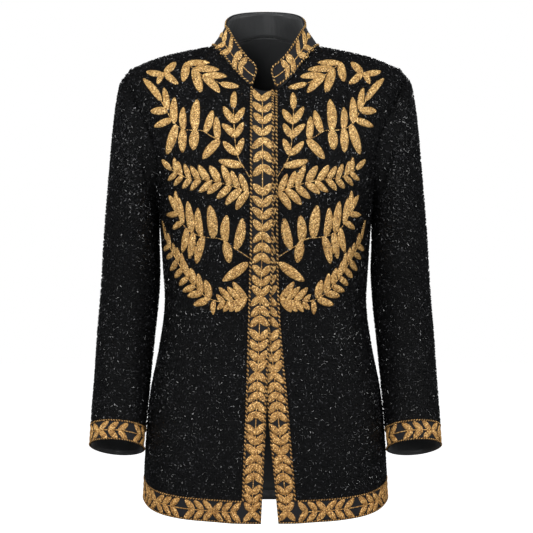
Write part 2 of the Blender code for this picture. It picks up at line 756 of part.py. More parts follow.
def down_front(edge_x, side):
    """Places a drop below the neck edge on a front border, and out from the border's middle."""
    ups = spread(NECK, HEM, FRONT_STEPS)
    middles = [edge_angle(edge_x(up) + side * front_border(up) / 2, up) for up in ups]
    heights = [body_skin(angle, up).z for angle, up in zip(middles, ups)]
    drops = [heights[0] - height for height in heights]

    def place_of(along, across):
        up = curve_value(drops, ups, along)
        return edge_angle(edge_x(up) + side * (front_border(up) / 2 + across), up), up

    return place_of


def along_hem(start, end):
    """Places a distance along the middle of the hem border and up from it, and its length."""
    middle = BORDER_WIDTH / 2
    angles = spread(start, end, round(abs(end - start)))
    lengths = lengths_along([body_skin(angle, middle) for angle in angles])

    def place_of(along, across):
        return curve_value(lengths, angles, along), middle + across

    return place_of, lengths[-1]


def round_cuff(along, across):
    """Places a distance round the middle of a cuff border, and up from it."""
    radius = (SLEEVE[-1].outer_x - SLEEVE[-1].inner_x) / 2
    return CUFF_START + degrees(along / radius), CUFF_CENTRE - across / CUFF_MM_PER_DOWN


def make_borders():
    """The leaf pairs down both front edges, along the hem and round the cuffs."""
    fronts = pairs_of(FRONT_GROUPS)
    make_border("front_border_right", fronts, LAID_GAP, body_point, down_front(right_edge_x, -1))
    make_border("front_border_left", fronts, LAID_GAP, left_front_point, down_front(left_edge_x, 1))
    right_line = edge_angle(right_edge_x(HEM) - front_border(HEM), HEM)
    left_line = edge_angle(left_edge_x(HEM) + front_border(HEM), HEM)
    for name, point_at, start, end in (
        ("right", body_point, right_line, -90),
        ("left", left_front_point, left_line, 90),
        ("back", body_point, 90, 270),
    ):
        place_of, length = along_hem(start, end)
        make_border(f"hem_border_{name}", even_pairs(HEM_GARLAND, length), HEM_GAP, point_at, place_of)
    cuff = even_pairs(CUFF_GARLAND, pi * (SLEEVE[-1].outer_x - SLEEVE[-1].inner_x))
    make_border("cuff_border_left", cuff, CUFF_GAP, sleeve_point, round_cuff)
    make_border("cuff_border_right", cuff, CUFF_GAP, sleeve_point, round_cuff, mirrored=True)


for thing in list(bpy.data.objects):
    bpy.data.objects.remove(thing)
make_body()
make_sleeves()
make_collar()
make_sprays()
make_borders()
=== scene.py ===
"""Looks of a beaded evening jacket: cloth shells, linings, gold leaves, twisted cords and glass beads.

Sizes are in millimetres, and meshes are turned into Blender's metres as they are made.
Angles run round the body in degrees from the centre front, 90 at the wearer's left side.
Lengths up run over the cloth from the hem. A place down a sleeve is 0 at the armhole and goes up by
1 for each row of the sleeve's table.
"""

from collections import namedtuple

import bmesh
import bpy
import numpy as np
from bpy.props import FloatProperty, FloatVectorProperty, PointerProperty
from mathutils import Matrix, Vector


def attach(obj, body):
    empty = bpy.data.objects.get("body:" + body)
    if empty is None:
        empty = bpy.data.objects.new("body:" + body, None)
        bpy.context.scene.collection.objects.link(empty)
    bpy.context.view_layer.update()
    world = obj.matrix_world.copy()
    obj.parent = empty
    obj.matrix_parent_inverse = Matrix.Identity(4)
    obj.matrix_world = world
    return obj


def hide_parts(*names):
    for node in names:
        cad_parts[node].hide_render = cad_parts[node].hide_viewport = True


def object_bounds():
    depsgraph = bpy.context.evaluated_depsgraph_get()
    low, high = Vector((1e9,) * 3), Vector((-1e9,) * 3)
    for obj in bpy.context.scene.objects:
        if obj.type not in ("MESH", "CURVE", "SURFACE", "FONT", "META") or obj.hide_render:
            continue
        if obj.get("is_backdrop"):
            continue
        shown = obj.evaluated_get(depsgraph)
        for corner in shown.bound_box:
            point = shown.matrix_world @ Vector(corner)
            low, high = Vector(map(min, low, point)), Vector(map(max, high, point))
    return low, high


bl_info = {
    "name": "Beaded evening jacket",
    "version": (1, 0, 0),
    "blender": (4, 5, 0),
    "location": "3D View > Sidebar > Jacket",
    "description": "Dresses a stand-collar evening jacket with beads, gold leaves and cords",
    "category": "Add Mesh",
}

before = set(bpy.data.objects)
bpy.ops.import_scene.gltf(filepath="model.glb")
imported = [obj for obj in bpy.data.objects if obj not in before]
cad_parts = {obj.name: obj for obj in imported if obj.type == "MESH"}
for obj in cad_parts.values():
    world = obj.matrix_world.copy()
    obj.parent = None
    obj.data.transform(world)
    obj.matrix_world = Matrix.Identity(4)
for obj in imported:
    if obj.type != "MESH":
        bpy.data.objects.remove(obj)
CAD_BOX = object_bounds()
MM = 0.001
WELD = 1e-6

# Lengths up the body from the hem
HEM = 0.0
UNDERARM = 455.0
SHOULDER = 665.0
NECK = 810.0
BORDER_WIDTH = 30.0

# The armhole reaches this far round from the side seam, in degrees, and a low power rounds it
ARMHOLE_FRONT = 22.0
ARMHOLE_BACK = 25.0
ARMHOLE_ROUNDNESS = 0.75

# The sleeve's head lies a little off the armhole. Past the seam its top rolls out, most at this place
# down and between these two cosines round it
SLEEVE_HEAD_DROP = 1.2
SLEEVE_HEAD_ROLL = 2.5
SLEEVE_ROLL_DOWN = 0.12
SLEEVE_ROLL_TOP = (-0.2, 0.8)

# Sections of the body. ease says how a section's height runs from the side to the centre line
Section = namedtuple("Section", "up side_x side_z front_y front_z back_y back_z square ease")
BODY = (
    Section(0, 192, -709, -127, -737, 128, -737, 2.7, 1.4),
    Section(35, 190.5, -674, -126, -698, 127, -698, 2.7, 1.4),
    Section(100, 187, -610, -122, -630, 124, -630, 2.7, 1.4),
    Section(170, 180, -540, -117, -553, 118, -553, 2.6, 1.4),
    Section(240, 167, -475, -111, -482, 108, -482, 2.6, 1.4),
    Section(305, 158.5, -410, -108, -412, 100, -412, 2.5, 1.4),
    Section(365, 161, -350, -113, -350, 102, -350, 2.5, 1.4),
    Section(455, 168, -262, -124, -257, 112, -257, 2.5, 1.4),
    Section(520, 180, -200, -126, -202, 117, -192, 2.5, 1.4),
    Section(580, 198, -145, -119, -156, 116, -132, 2.5, 1.4),
    Section(625, 210, -93, -109, -127, 110, -87, 2.5, 1.4),
    Section(665, 217, -42, -99, -110, 101, -48, 2.4, 1.5),
    Section(700, 200, -30, -90, -99, 93, -22, 2.3, 1.7),
    Section(740, 165, -16.5, -82, -91, 84, -2, 2.2, 2.1),
    Section(780, 122, -6.5, -73, -83, 73, 15, 2.1, 2.5),
    Section(810, 85, 0, -66, -76, 62, 27, 2.0, 2.9),
)

# Soft flutes that hang from the waist and fade upwards by a power
Fold = namedtuple("Fold", "angle width depth top")
FOLDS = (
    Fold(-35, 15, -6, 330),
    Fold(-60, 17, 4, 280),
    Fold(32, 14, -5, 310),
    Fold(58, 17, 4, 290),
    Fold(118, 20, -5, 300),
    Fold(152, 20, -6, 340),
    Fold(206, 20, -6, 330),
    Fold(240, 20, -5, 290),
)
FOLD_FADE = 1.3

# Soft troughs in the cloth, from one place to another, in degrees round, and in millimetres up the
# body or down the sleeve
Crease = namedtuple("Crease", "start_angle start_up end_angle end_up width depth")
BODY_CREASES = (
    Crease(-70, 470, -62, 330, 13, -3.0),
    Crease(69, 470, 63, 335, 13, -3.0),
    Crease(-58, 500, -44, 430, 16, -1.6),
    Crease(57, 505, 45, 440, 16, -1.6),
    Crease(-82, 330, -55, 305, 12, -1.8),
    Crease(80, 322, 58, 300, 12, -1.8),
    Crease(-20, 165, -24, 10, 16, -2.2),
    Crease(24, 170, 22, 10, 15, -2.0),
    Crease(112, 500, 120, 350, 15, -2.4),
    Crease(248, 505, 240, 352, 15, -2.4),
    Crease(104, 330, 150, 300, 14, -2.0),
    Crease(256, 334, 212, 305, 14, -2.0),
    Crease(172, 640, 176, 470, 22, -1.2),
    Crease(180, 240, 181, 20, 18, -2.4),
)
SLEEVE_CREASES = (
    Crease(118, 60, 152, 150, 9, -2.6),
    Crease(92, 20, 128, 95, 9, -2.0),
    Crease(150, 250, 70, 310, 11, -2.2),
    Crease(165, 300, 95, 352, 11, -2.2),
    Crease(55, 330, 130, 390, 10, -1.6),
    Crease(210, 330, 300, 300, 12, -2.0),
    Crease(222, 70, 260, 150, 12, -2.4),
    Crease(20, 40, 28, 260, 12, -1.2),
)
BODY_MM_PER_DEGREE = 2.6
SLEEVE_MM_PER_DEGREE = 0.87

# A crease widens along its run, is uneven in waves and fades at its ends. Those of a sleeve start
# between these places down it
CREASE_START_WIDTH = 0.75
CREASE_WIDENS = 0.5
CREASE_UNEVEN = 0.3
CREASE_WAVE = 19.0
CREASE_END = 0.04
CREASE_FADE = 0.6
SLEEVE_CREASES_FROM = (0.2, 1.2)

# The short steps round and along the body, a sleeve and the collar that their normals come from
BODY_STEPS = (0.5, 2.0)
SLEEVE_STEPS = (2.0, 0.1)
COLLAR_STEPS = (0.5, 0.05)

# Where the two front edges lie either side of the centre, at lengths up from the hem, and how wide
# their borders are
Edge = namedtuple("Edge", "up right_x left_x border")
FRONT_EDGES = (
    Edge(0, -6.7, 19.5, 29.0),
    Edge(60, -3.6, 13.4, 29.5),
    Edge(180, 2.2, 1.2, 30.2),
    Edge(300, 7.8, -12.0, 32.6),
    Edge(400, 12.0, -16.0, 34.0),
    Edge(560, 12.8, -17.4, 34.5),
    Edge(810, 12.4, -17.9, 34.5),
)
UNDERLAP_DEPTH = 4.2
UNDERLAP_CLEAR = 3.0
UNDERLAP_EASE = 60.0

# Sleeve sections down the arm: outer and inner points, middle, half depth and forward lean
SleeveRing = namedtuple("SleeveRing", "outer_x outer_z inner_x inner_z mid_y half_depth lean")
SLEEVE = (
    SleeveRing(228, -54, 169.8, -270, 0, 62, 0),
    SleeveRing(233.5, -72, 170, -277, 0, 64, 0),
    SleeveRing(238, -100, 170, -286, 1, 65, 0),
    SleeveRing(243, -145, 170, -300, 2, 65, 0),
    SleeveRing(249, -215, 169.5, -325, 3, 63.5, 0),
    SleeveRing(256, -300, 169, -362, 5, 60.5, 0),
    SleeveRing(261, -385, 172, -408, 6, 57, 2),
    SleeveRing(266, -450, 177.5, -462, 2, 53, 8),
    SleeveRing(269, -515, 182.5, -522, -12, 49, 14),
    SleeveRing(271.5, -575, 186.5, -580, -33, 45.5, 19),
    SleeveRing(272.5, -627, 189.5, -632, -55, 42.5, 23),
)
SLEEVE_END = float(len(SLEEVE))
CUFF_MM_PER_DOWN = 52.0

# The collar's seam on the neck and its free top edge, with the front ends' places
COLLAR_SEAM = Section(0, 85, 1.0, -66, -75, 62, 28, 2.0, 2.9)
COLLAR_TOP = Section(40, 62, 34, -61, -38, 50, 65, 2.0, 2.3)
COLLAR_BACK_EASE = 0.55
COLLAR_CENTRE_X = -2.5
COLLAR_SEAM_END = 18.8
COLLAR_TOP_END = 8.6
COLLAR_CORNER = 12.0
COLLAR_CORNER_FROM = 0.62

# Leaf sprays on each front. A place is a distance out from the jacket's centre line and a height.
# A row lists the leaves on one side of the stem: the share of the stem where each grows, its length,
# the way it points, in degrees from straight outwards, and its width. A tip is the leaf at the end
Row = namedtuple("Row", "at long way wide")
Tip = namedtuple("Tip", "long way wide")
Spray = namedtuple("Spray", "name stem over under tip")
SPRAYS = (
    Spray(
        "star", ((151, -45), (155, -46), (159, -47)),
        Row((0.3,), (24,), (131,), (13,)),
        Row((0.3, 0.75), (30, 21), (-139, -68), (12, 10)),
        Tip(27, 9, 11),
    ),
    Spray(
        "shoulder", ((122, -29), (94, -52), (66, -65)),
        Row((0.03, 0.26, 0.54), (32, 40, 40), (-82, -108, -131), (14, 15, 14)),
        Row((0.03, 0.26, 0.54), (35, 41, 38), (178, 182, 182), (11, 12, 12)),
        Tip(28, 187, 11),
    ),
    Spray(
        "long_upper",
        ((65, -157), (80, -150), (92, -142), (116, -140), (128, -136), (139, -125), (158, -92)),
        Row(
            (0.04, 0.22, 0.355, 0.5, 0.65, 0.84), (37, 37, 49, 37, 41, 38),
            (85, 107, 92, 85, 88, 82), (12, 13, 16, 12, 13, 11),
        ),
        Row(
            (0.02, 0.35, 0.51, 0.62, 0.71, 0.84), (40, 32, 37, 47, 30, 27),
            (-47, -83, -89, -75, -21, 3), (15, 16, 14, 15, 12, 13),
        ),
        Tip(49, 49, 12),
    ),
    Spray(
        "upright", ((21, -213), (39, -180), (45, -128), (46, -105)),
        Row((0.35, 0.59, 0.79), (28, 27, 28), (109, 122, 124), (11, 11, 12)),
        Row((0.18, 0.35, 0.59, 0.79), (37, 31, 29, 31), (12, 43, 45, 56), (13, 12, 12, 12)),
        Tip(29, 90, 11),
    ),
    Spray(
        "frond", ((21, -236.8), (52, -225), (84, -217), (119, -212), (142, -199)),
        Row(
            (0.03, 0.14, 0.25, 0.38, 0.51, 0.63, 0.74, 0.85, 0.92),
            (29, 29, 32, 31, 28, 24, 23, 24, 23),
            (67, 67, 66, 59, 58, 58, 70, 77, 80), (11, 11, 12, 13, 12, 10, 9, 9, 8),
        ),
        Row(
            (0.02, 0.11, 0.24, 0.36, 0.48, 0.61, 0.73, 0.83, 0.92),
            (32, 32, 29, 27, 25, 22, 20, 19, 17),
            (-55, -43, -43, -39, -45, -49, -50, -48, -40), (13, 13, 12, 12, 11, 10, 10, 9, 9),
        ),
        Tip(22, 46, 9),
    ),
    Spray(
        "long_lower",
        ((22, -334.5), (52, -315), (66, -306), (90, -303), (108, -297), (121, -286), (133, -264)),
        Row(
            (0.17, 0.31, 0.455, 0.59, 0.705, 0.85, 0.96), (47, 40, 50, 45, 51, 41, 38),
            (100, 91, 84, 83, 81, 84, 83), (16, 15, 17, 13, 13, 10, 9),
        ),
        Row(
            (0.31, 0.57, 0.69, 0.78, 0.87, 0.97), (34, 45, 38, 37, 19, 20),
            (-99, -78, -79, -80, -36, 0), (15, 14, 13, 12, 10, 10),
        ),
        Tip(28, 61, 9),
    ),
    Spray(
        "low_leaf", ((22.5, -341), (23.5, -342), (24.5, -343)),
        Row((), (), (), ()),
        Row((), (), (), ()),
        Tip(47, -35, 16),
    ),
    Spray(
        "arc",
        ((23.5, -394.8), (58, -402), (78, -399), (92, -391), (114, -368), (132, -341), (153, -304)),
        Row(
            (0.02, 0.075, 0.14, 0.21, 0.34, 0.42, 0.52, 0.6, 0.67, 0.76, 0.83, 0.91),
            (31, 26, 28, 17, 30, 30, 28, 27, 28, 23, 20, 23),
            (51, 43, 46, 45, 78, 81, 82, 79, 82, 88, 84, 84),
            (12, 10, 11, 8, 13, 11, 11, 9, 8, 8, 7, 8),
        ),
        Row(
            (0.02, 0.085, 0.15, 0.215, 0.295, 0.34, 0.42, 0.51, 0.6, 0.69, 0.78, 0.85, 0.925),
            (28, 23, 20, 15, 21, 26, 23, 20, 19, 19, 20, 15, 13),
            (-56, -53, -54, -54, -86, -24, -13, -27, -40, -50, -57, -43, -40),
            (12, 11, 10, 9, 9, 12, 12, 11, 10, 10, 10, 9, 9),
        ),
        Tip(30, 78, 5),
    ),
)
SPRAY_CENTRE_X = -3.0

# The collar's sprays, in distance from its front end and height up it
COLLAR_SPRAY = Spray(
    "spray", ((2, 15), (28, 15), (50, 13.5), (74, 14), (98, 18)),
    Row((0.32, 0.44, 0.6, 0.8), (17, 17, 27, 25), (88, 82, 42, 40), (11, 13, 8, 9)),
    Row((0.34, 0.46, 0.62, 0.77), (20, 20, 16, 17), (-138, -136, -80, -68), (8, 9, 11, 12)),
    Tip(16, 10, 8),
)
COLLAR_MM_PER_DEGREE = 1.6
COLLAR_ACROSS = 33.0
COLLAR_SLANT = 15.0
COLLAR_SLANT_ENDS = (45.0, 75.0)

# Groups of leaf pairs down the front borders. A group starts this far below the neck edge, as seen
# from the front. way is -1 for pairs that point up and 1 for pairs that point down
Group = namedtuple("Group", "at pitch count way long")
FRONT_GROUPS = (
    Group(16.5, 18.6, 4, -1, 20),
    Group(79, 20.5, 3, 1, 21),
    Group(163, 18.1, 4, -1, 21.5),
    Group(222, 16, 3, 1, 19.5),
    Group(285.5, 15.2, 3, -1, 20),
    Group(319, 15.2, 3, 1, 20),
    Group(383, 16, 4, -1, 21),
    Group(434.5, 14.9, 5, 1, 19.5),
    Group(525.5, 15, 3, -1, 20.5),
    Group(558.5, 13.8, 3, 1, 19.5),
    Group(615.5, 13, 3, -1, 18),
    Group(643.8, 13, 1, 1, 18),
)

# The pairs of the other borders: groups of this many point one way, then the other, and the groups
# part where the leaves' tips meet
Garland = namedtuple("Garland", "pitch count long")
HEM_GARLAND = Garland(14.2, 3, 19)
CUFF_GARLAND = Garland(15.6, 3, 19)
TIPS_PART = 10.5
CUFF_START = 200.0

# A pair starts this far before its place, and the first one this share of a pitch in. Its leaves turn
# out from the stem and stand a little off it, and are this wide for their length
PAIR_START = 5.8
PAIR_FIRST = 0.7
PAIR_TURN = 43.0
PAIR_OFF_STEM = 0.5
PAIR_SLIM = 0.57
HEM_PAIR_SLIM = 0.5

# A leaf's cells and how it is laid: it starts a little behind its stem and sinks into the cloth. Its
# outline is a power of the share from its base times a power of the share from its tip. A leaf less
# than LEAF_FULL_WIDTH wide is lower in step with it
LEAF_CELLS = 9
LEAF_ROUND_CELLS = 6
LEAF_SINK = 0.3
LEAF_BACK = 1.6
LEAF_FULL = 2.13
LEAF_BASE_POWER = 0.5
LEAF_TIP_POWER = 0.6
LEAF_DOME_SHARE = 0.55
LEAF_FULL_WIDTH = 9.0
LEAF_EDGE = 0.99
LEAF_END = 0.001
LEAF_TURN_JITTER = 3.0
LEAF_SIZE_JITTER = 0.05
LEAF_BEND = 0.05
GARLAND_SEED = 40

# The thin stem of a spray or a garland, which runs past the garland's last pairs
STEM_LIFT = 0.5
STEM_RADIUS = 0.8
STEM_SIDES = 5
STEM_STEPS = 40
STEM_PAST = 8.0
GARLAND_STEM_STEP = 4.0

# Twisted cords: how far in from an edge and over the cloth they lie, the slant of their twists, and
# how long those of the hem, the cuffs and the collar are beside those of the front edges. A twist's
# width and height and the core's radius are shares of the cord's width
CORD_INSET = 1.5
CORD_LIFT = 1.1
CORD_SLANT = 29.0
HEM_CORD = 0.64
COLLAR_CORD = 0.9
TWIST_WIDTH = 0.74
TWIST_HEIGHT = 0.85
CORE_RADIUS = 0.3
CORE_SIDES = 6

# The collar's cord runs between these shares of its height, this many degrees in from its ends
COLLAR_CORD_RISE = (0.07, 0.96)
COLLAR_CORD_IN = 1.0

# Points that the cords are laid on
FRONT_CORD_STEPS = 260
FRONT_HEM_STEPS = 120
BACK_HEM_STEPS = 220
CUFF_STEPS = 90
COLLAR_LONG_STEPS = 150
COLLAR_END_STEPS = 24

# Each bead is nudged at random by a share of its space, tipped, rolled in degrees, sized and lifted
# from its seat. Its faces under the cut are left out. The beads keep clear of the borders and the
# leaves, and those of each piece have their own seed
BEAD_NUDGE = 0.35
BEAD_TILT = 0.32
BEAD_ROLL = 45.0
BEAD_SCALE = (0.75, 1.15)
BEAD_SEAT = 0.3
BEAD_CUT = -0.3
BEAD_LIFT = 0.5
BORDER_MARGIN = 2.2
LEAF_MARGIN = 1.0
BEAD_ROW_STEPS = 80
SLEEVE_LENGTH = 620.0
BEAD_SEEDS = {"back": 1, "front_left": 6, "front_right": 4, "sleeve_left": 9, "sleeve_right": 10}

# Steps of the search for the place on the front under a flat point
PLACE_ROUNDS = 16
PLACE_STEP = 0.2
PLACE_TURN = 8.0
PLACE_RISE = 40.0
PLACE_ENDS = (HEM + 1, NECK - 2)

# Points that lengths along a front border and along the hem are read from
BAND_STEPS = 120
HEM_STEPS = 200

# Cells of the cloth shells
BACK_COLUMNS = 84
FRONT_COLUMNS = 44
SLEEVE_COLUMNS = 44
SLEEVE_ROWS = 110
COLLAR_COLUMNS = 90
COLLAR_ROWS = 10
SKIRT_ROWS = 72
ARMHOLE_ROWS = 44
YOKE_ROWS = 26

# Walls of the collar and the linings, and the gap between a wall and its lining
LINING_GAP = 0.3
COLLAR_THICKNESS = 2.2
LINING_THICKNESS = 0.8

# Rows and columns of the linings' cells, and the flat sizes that they were cut to, in metres
LiningSheet = namedtuple("LiningSheet", "columns rows flat area")
BACK_LINING = LiningSheet(60, 120, (0.54, 0.80), 0.34)
COLLAR_LINING = LiningSheet(80, 8, (0.42, 0.042), None)
CUFF_LINING = LiningSheet(36, 14, (0.28, 0.09), None)

# The linings stop a little short of the edges: lengths up, shares and places down
BACK_LINING_UPS = (14, NECK - 3)
BACK_LINING_IN = 0.02
COLLAR_LINING_SHARES = (-0.05, 0.97)
COLLAR_LINING_IN = 0.01
CUFF_LINING_DOWNS = (9.4, SLEEVE_END - 0.03)

# The camera stands level with the picture's middle, this far in front of the shoulders
CAMERA_DISTANCE = 2500.0
CAMERA_X = 1.6
CAMERA_HEIGHT = -348.0
PICTURE_WIDTH_MM = 847.5
SENSOR_MM = 36.0

# The floor's height, and how many metres it reaches each way
FLOOR_HEIGHT = -1250.0
FLOOR_REACH = 12.0

# Lamps, in metres and watts. A glint lamp shows only in gloss, and the others only in plain colour
Lamp = namedtuple("Lamp", "name place size power glint")
GLINT = (0.3, 0.3)
LAMPS = (
    Lamp("key", (-0.85, -1.55, 0.45), (0.9, 0.9), 29.0, False),
    Lamp("fill", (1.5, -1.8, 0.15), (1.1, 1.1), 30.0, False),
    Lamp("left_edge", (-2.0, 0.3, 0.4), (0.5, 1.6), 30.0, False),
    Lamp("right_edge", (2.0, 0.4, 0.4), (0.5, 1.6), 24.0, False),
    Lamp("top", (0.1, -0.4, 2.0), (1.2, 0.8), 20.0, False),
    Lamp("back_wash", (0.2, 2.4, 0.8), (1.6, 1.2), 40.0, False),
    Lamp("under", (0.0, -0.9, -1.15), (1.0, 0.6), 3.0, False),
    Lamp("glint_left", (-1.6, -2.2, 0.9), GLINT, 10.0, True),
    Lamp("glint_right", (1.7, -2.1, 0.5), GLINT, 10.0, True),
    Lamp("glint_top", (0.2, -1.5, 1.9), GLINT, 10.0, True),
    Lamp("glint_low", (-0.4, -2.4, -0.9), GLINT, 7.0, True),
    Lamp("glint_wide_left", (-2.3, -1.1, -0.2), GLINT, 8.0, True),
    Lamp("glint_wide_right", (2.3, -1.2, 0.1), GLINT, 8.0, True),
    Lamp("glint_back", (0.5, 2.2, 0.7), (0.4, 0.4), 9.0, True),
)
WORLD_LIGHT = (0.9, 0.95, 1.0, 1)
WORLD_STRENGTH = 0.11
WHITE = (1, 1, 1, 1)
FLOOR_COLOUR = (0.9, 0.9, 0.9, 1)

# The gold's grains and patches as shares of its colour, and how painted shade darkens and warms it between
# two heights, in metres. Its pale grains are partly painted glints and its brown grains partly painted
# shadow.
# The grains of the leaves and of the cords are this many millimetres across
BROWN_AND_SHADOW_GRAIN = (0.5, 0.38, 0.26)
DULL_GRAIN = 0.85
PALE_AND_GLINT_GRAIN = (1.955, 2.3, 3.105)
DULL_PATCH = (0.72, 0.68, 0.62)
BRIGHT_PATCH = (1.1, 1.1, 1.1)
# Painted shade: the gold grows darker and warmer towards the hem
LOW_GOLD_SHADE = (0.85, 0.73, 0.6, 1)
LOW_GOLD_SHADE_HEIGHTS = (-0.2, -0.75)
LEAF_GRAIN = 1.5
CORD_GRAIN = 0.9


class JacketSizes(bpy.types.PropertyGroup):
    """Sizes of the cloth, the beads, the leaves and the cords."""

    cloth: FloatProperty(
        name="Cloth", description="Thickness of the cloth", default=0.0014, unit="LENGTH"
    )
    bead_length: FloatProperty(
        name="Bead length", description="Length of a glass bead", default=0.0031, unit="LENGTH"
    )
    bead_width: FloatProperty(
        name="Bead width", description="Width of a glass bead", default=0.0017, unit="LENGTH"
    )
    bead_spacing: FloatProperty(
        name="Bead spacing", description="Distance from bead to bead", default=0.0039, unit="LENGTH"
    )
    leaf_dome: FloatProperty(
        name="Leaf height", description="Height of a leaf over the cloth", default=0.0024, unit="LENGTH"
    )
    cord_width: FloatProperty(
        name="Cord width", description="Width of the twisted cord", default=0.0041, unit="LENGTH"
    )
    cord_pitch: FloatProperty(
        name="Cord pitch", description="Length of one twist of the cord", default=0.0063, unit="LENGTH"
    )


class JacketColours(bpy.types.PropertyGroup):
    """Colours of the cloth, the linings, the beads and the gold."""

    beaded: FloatVectorProperty(
        name="Beaded ground", description="Cloth under the beads",
        default=(0.002, 0.002, 0.0022), subtype="COLOR",
    )
    plain: FloatVectorProperty(
        name="Plain ground", description="Unbeaded cloth", default=(0.012, 0.012, 0.0135), subtype="COLOR"
    )
    lining: FloatVectorProperty(
        name="Lining", description="Satin inside the jacket", default=(0.03, 0.031, 0.032), subtype="COLOR"
    )
    bead: FloatVectorProperty(
        name="Beads", description="Black glass", default=(0.005, 0.005, 0.0055), subtype="COLOR"
    )
    gold: FloatVectorProperty(
        name="Gold", description="Gold thread in the light", default=(0.66, 0.4, 0.135), subtype="COLOR"
    )
    old_gold: FloatVectorProperty(
        name="Old gold", description="Gold thread between its beads",
        default=(0.1, 0.048, 0.014), subtype="COLOR",
    )


def curve(places, values, at):
    """A smooth curve through values that stand at rising places, read at many places."""
    places, values = np.asarray(places, float), np.asarray(values, float)
    at = np.clip(np.asarray(at, float), places[0], places[-1])
    rows = np.arange(len(places))
    low, high = np.maximum(rows - 1, 0), np.minimum(rows + 1, len(places) - 1)
    runs = (places[high] - places[low]).reshape((-1,) + (1,) * (values.ndim - 1))
    slopes = (values[high] - values[low]) / runs
    i = np.clip(np.searchsorted(places, at) - 1, 0, len(places) - 2)
    span = places[i + 1] - places[i]
    each = np.arange(len(at))
    start, end, start_slope, end_slope = (
        table[k, each] if values.ndim == 3 else table[k]
        for table, k in ((values, i), (values, i + 1), (slopes, i), (slopes, i + 1))
    )
    shape = (-1,) + (1,) * (start.ndim - 1)
    t, span = ((at - places[i]) / span).reshape(shape), span.reshape(shape)
    return (
        (2 * t**3 - 3 * t**2 + 1) * start
        + (t**3 - 2 * t**2 + t) * span * start_slope
        + (3 * t**2 - 2 * t**3) * end
        + (t**3 - t**2) * span * end_slope
    )


def read_table(table, at):
    """The columns of a table whose first column is the place, read at many places."""
    rows = np.array(table, float)
    return type(table[0])(at, *curve(rows[:, 0], rows[:, 1:], at).T)


def smooth_step(low, high, value):
    t = np.clip((value - low) / (high - low), 0, 1)
    return t * t * (3 - 2 * t)


def normalised(vectors):
    return vectors / np.maximum(np.linalg.norm(vectors, axis=-1, keepdims=True), 1e-12)


def section_points(section, angle):
    """Points of rounded sections at angles from the centre front."""
    across, along = np.sin(np.radians(angle)), np.cos(np.radians(angle))
    front = along >= 0
    depth = np.where(front, -section.front_y, section.back_y)
    centre_z = np.where(front, section.front_z, section.back_z)
    power = section.square
    reach = (np.abs(across / section.side_x) ** power + np.abs(along / depth) ** power) ** (-1 / power)
    share = np.abs(reach * along) / depth
    height = section.side_z + (centre_z - section.side_z) * share**section.ease
    return np.stack([reach * across, -reach * along, height], axis=-1)


def fold_depth(angle, up):
    """How far the hanging flutes move the cloth in or out."""
    total = np.zeros_like(up)
    for fold in FOLDS:
        apart = (angle - fold.angle + 180) % 360 - 180
        hang = np.clip(1 - up / fold.top, 0, 1) ** FOLD_FADE
        bulge = np.where(np.abs(apart) < fold.width, np.cos(np.pi / 2 * apart / fold.width), 0) ** 2
        total += fold.depth * bulge * hang
    return total


def crease_depth(creases, angle, length, mm_per_degree):
    """How far soft troughs move the cloth."""
    total = np.zeros_like(length)
    for crease in creases:
        run = np.array([
            (crease.end_angle - crease.start_angle) * mm_per_degree, crease.end_up - crease.start_up
        ])
        across = ((angle - crease.start_angle + 180) % 360 - 180) * mm_per_degree
        along = length - crease.start_up
        share = np.clip((across * run[0] + along * run[1]) / run.dot(run), 0, 1)
        away = np.hypot(across - share * run[0], along - share * run[1])
        wide = crease.width * (CREASE_START_WIDTH + CREASE_WIDENS * share)
        uneven = 1 + CREASE_UNEVEN * np.sin(length / CREASE_WAVE + crease.start_angle)
        fade = np.sin(np.pi * np.clip(share, CREASE_END, 1 - CREASE_END)) ** CREASE_FADE
        total += crease.depth * uneven * fade * np.exp(-((away / wide) ** 2))
    return total


def off_skin(skin, turn, length, out, steps, ends=(-np.inf, np.inf)):
    """Points of a skin, moved out along its normal."""
    turn_step, length_step = steps
    around = skin(turn + turn_step, length) - skin(turn - turn_step, length)
    before, after = np.maximum(length - length_step, ends[0]), np.minimum(length + length_step, ends[1])
    normal = normalised(np.cross(around, skin(turn, after) - skin(turn, before)))
    return skin(turn, length) + normal * np.reshape(out, (-1, 1))


def body_skin(angle, up):
    point = section_points(read_table(BODY, up), angle)
    depth = fold_depth(angle, up) + crease_depth(BODY_CREASES, angle, up, BODY_MM_PER_DEGREE)
    return point + normalised(point * (1, 1, 0)) * depth[:, None]


def body_points(angle, up, out=0.0):
    """Points on the body of the jacket, moved out."""
    return off_skin(body_skin, angle, up, out, BODY_STEPS, (HEM, NECK))


def lapped_points(angle, up, out=0.0):
    """Points on the left front, which lies behind the right one where the two lap."""
    beyond = body_skin(angle, up)[:, 0] - read_table(FRONT_EDGES, up).right_x
    lap = -UNDERLAP_DEPTH * (1 - smooth_step(UNDERLAP_CLEAR, UNDERLAP_CLEAR + UNDERLAP_EASE, beyond))
    return body_points(angle, up, out + lap)


# The sides of the jacket, 1 for the wearer's left, and the points of their fronts
SIDES = ((1, "left"), (-1, "right"))
FRONT_POINTS = {1: lapped_points, -1: body_points}


def edge_x(side, up):
    """Where a front's edge lies across the front."""
    edges = read_table(FRONT_EDGES, up)
    return edges.left_x if side > 0 else edges.right_x


def front_border(up):
    return read_table(FRONT_EDGES, up).border


def angle_in(side, up, inward):
    """Angles of the places on a front that lie this far in from its edge."""
    return np.degrees(np.arctan2(edge_x(side, up) + side * inward, -read_table(BODY, up).front_y))


def hem_angle(side):
    """The angle where a front's border meets the hem."""
    hem = np.array([HEM])
    return float(angle_in(side, hem, front_border(hem))[0])


def armhole_up(turn):
    return UNDERARM + (SHOULDER - UNDERARM) * (1 + np.cos(np.radians(turn))) / 2


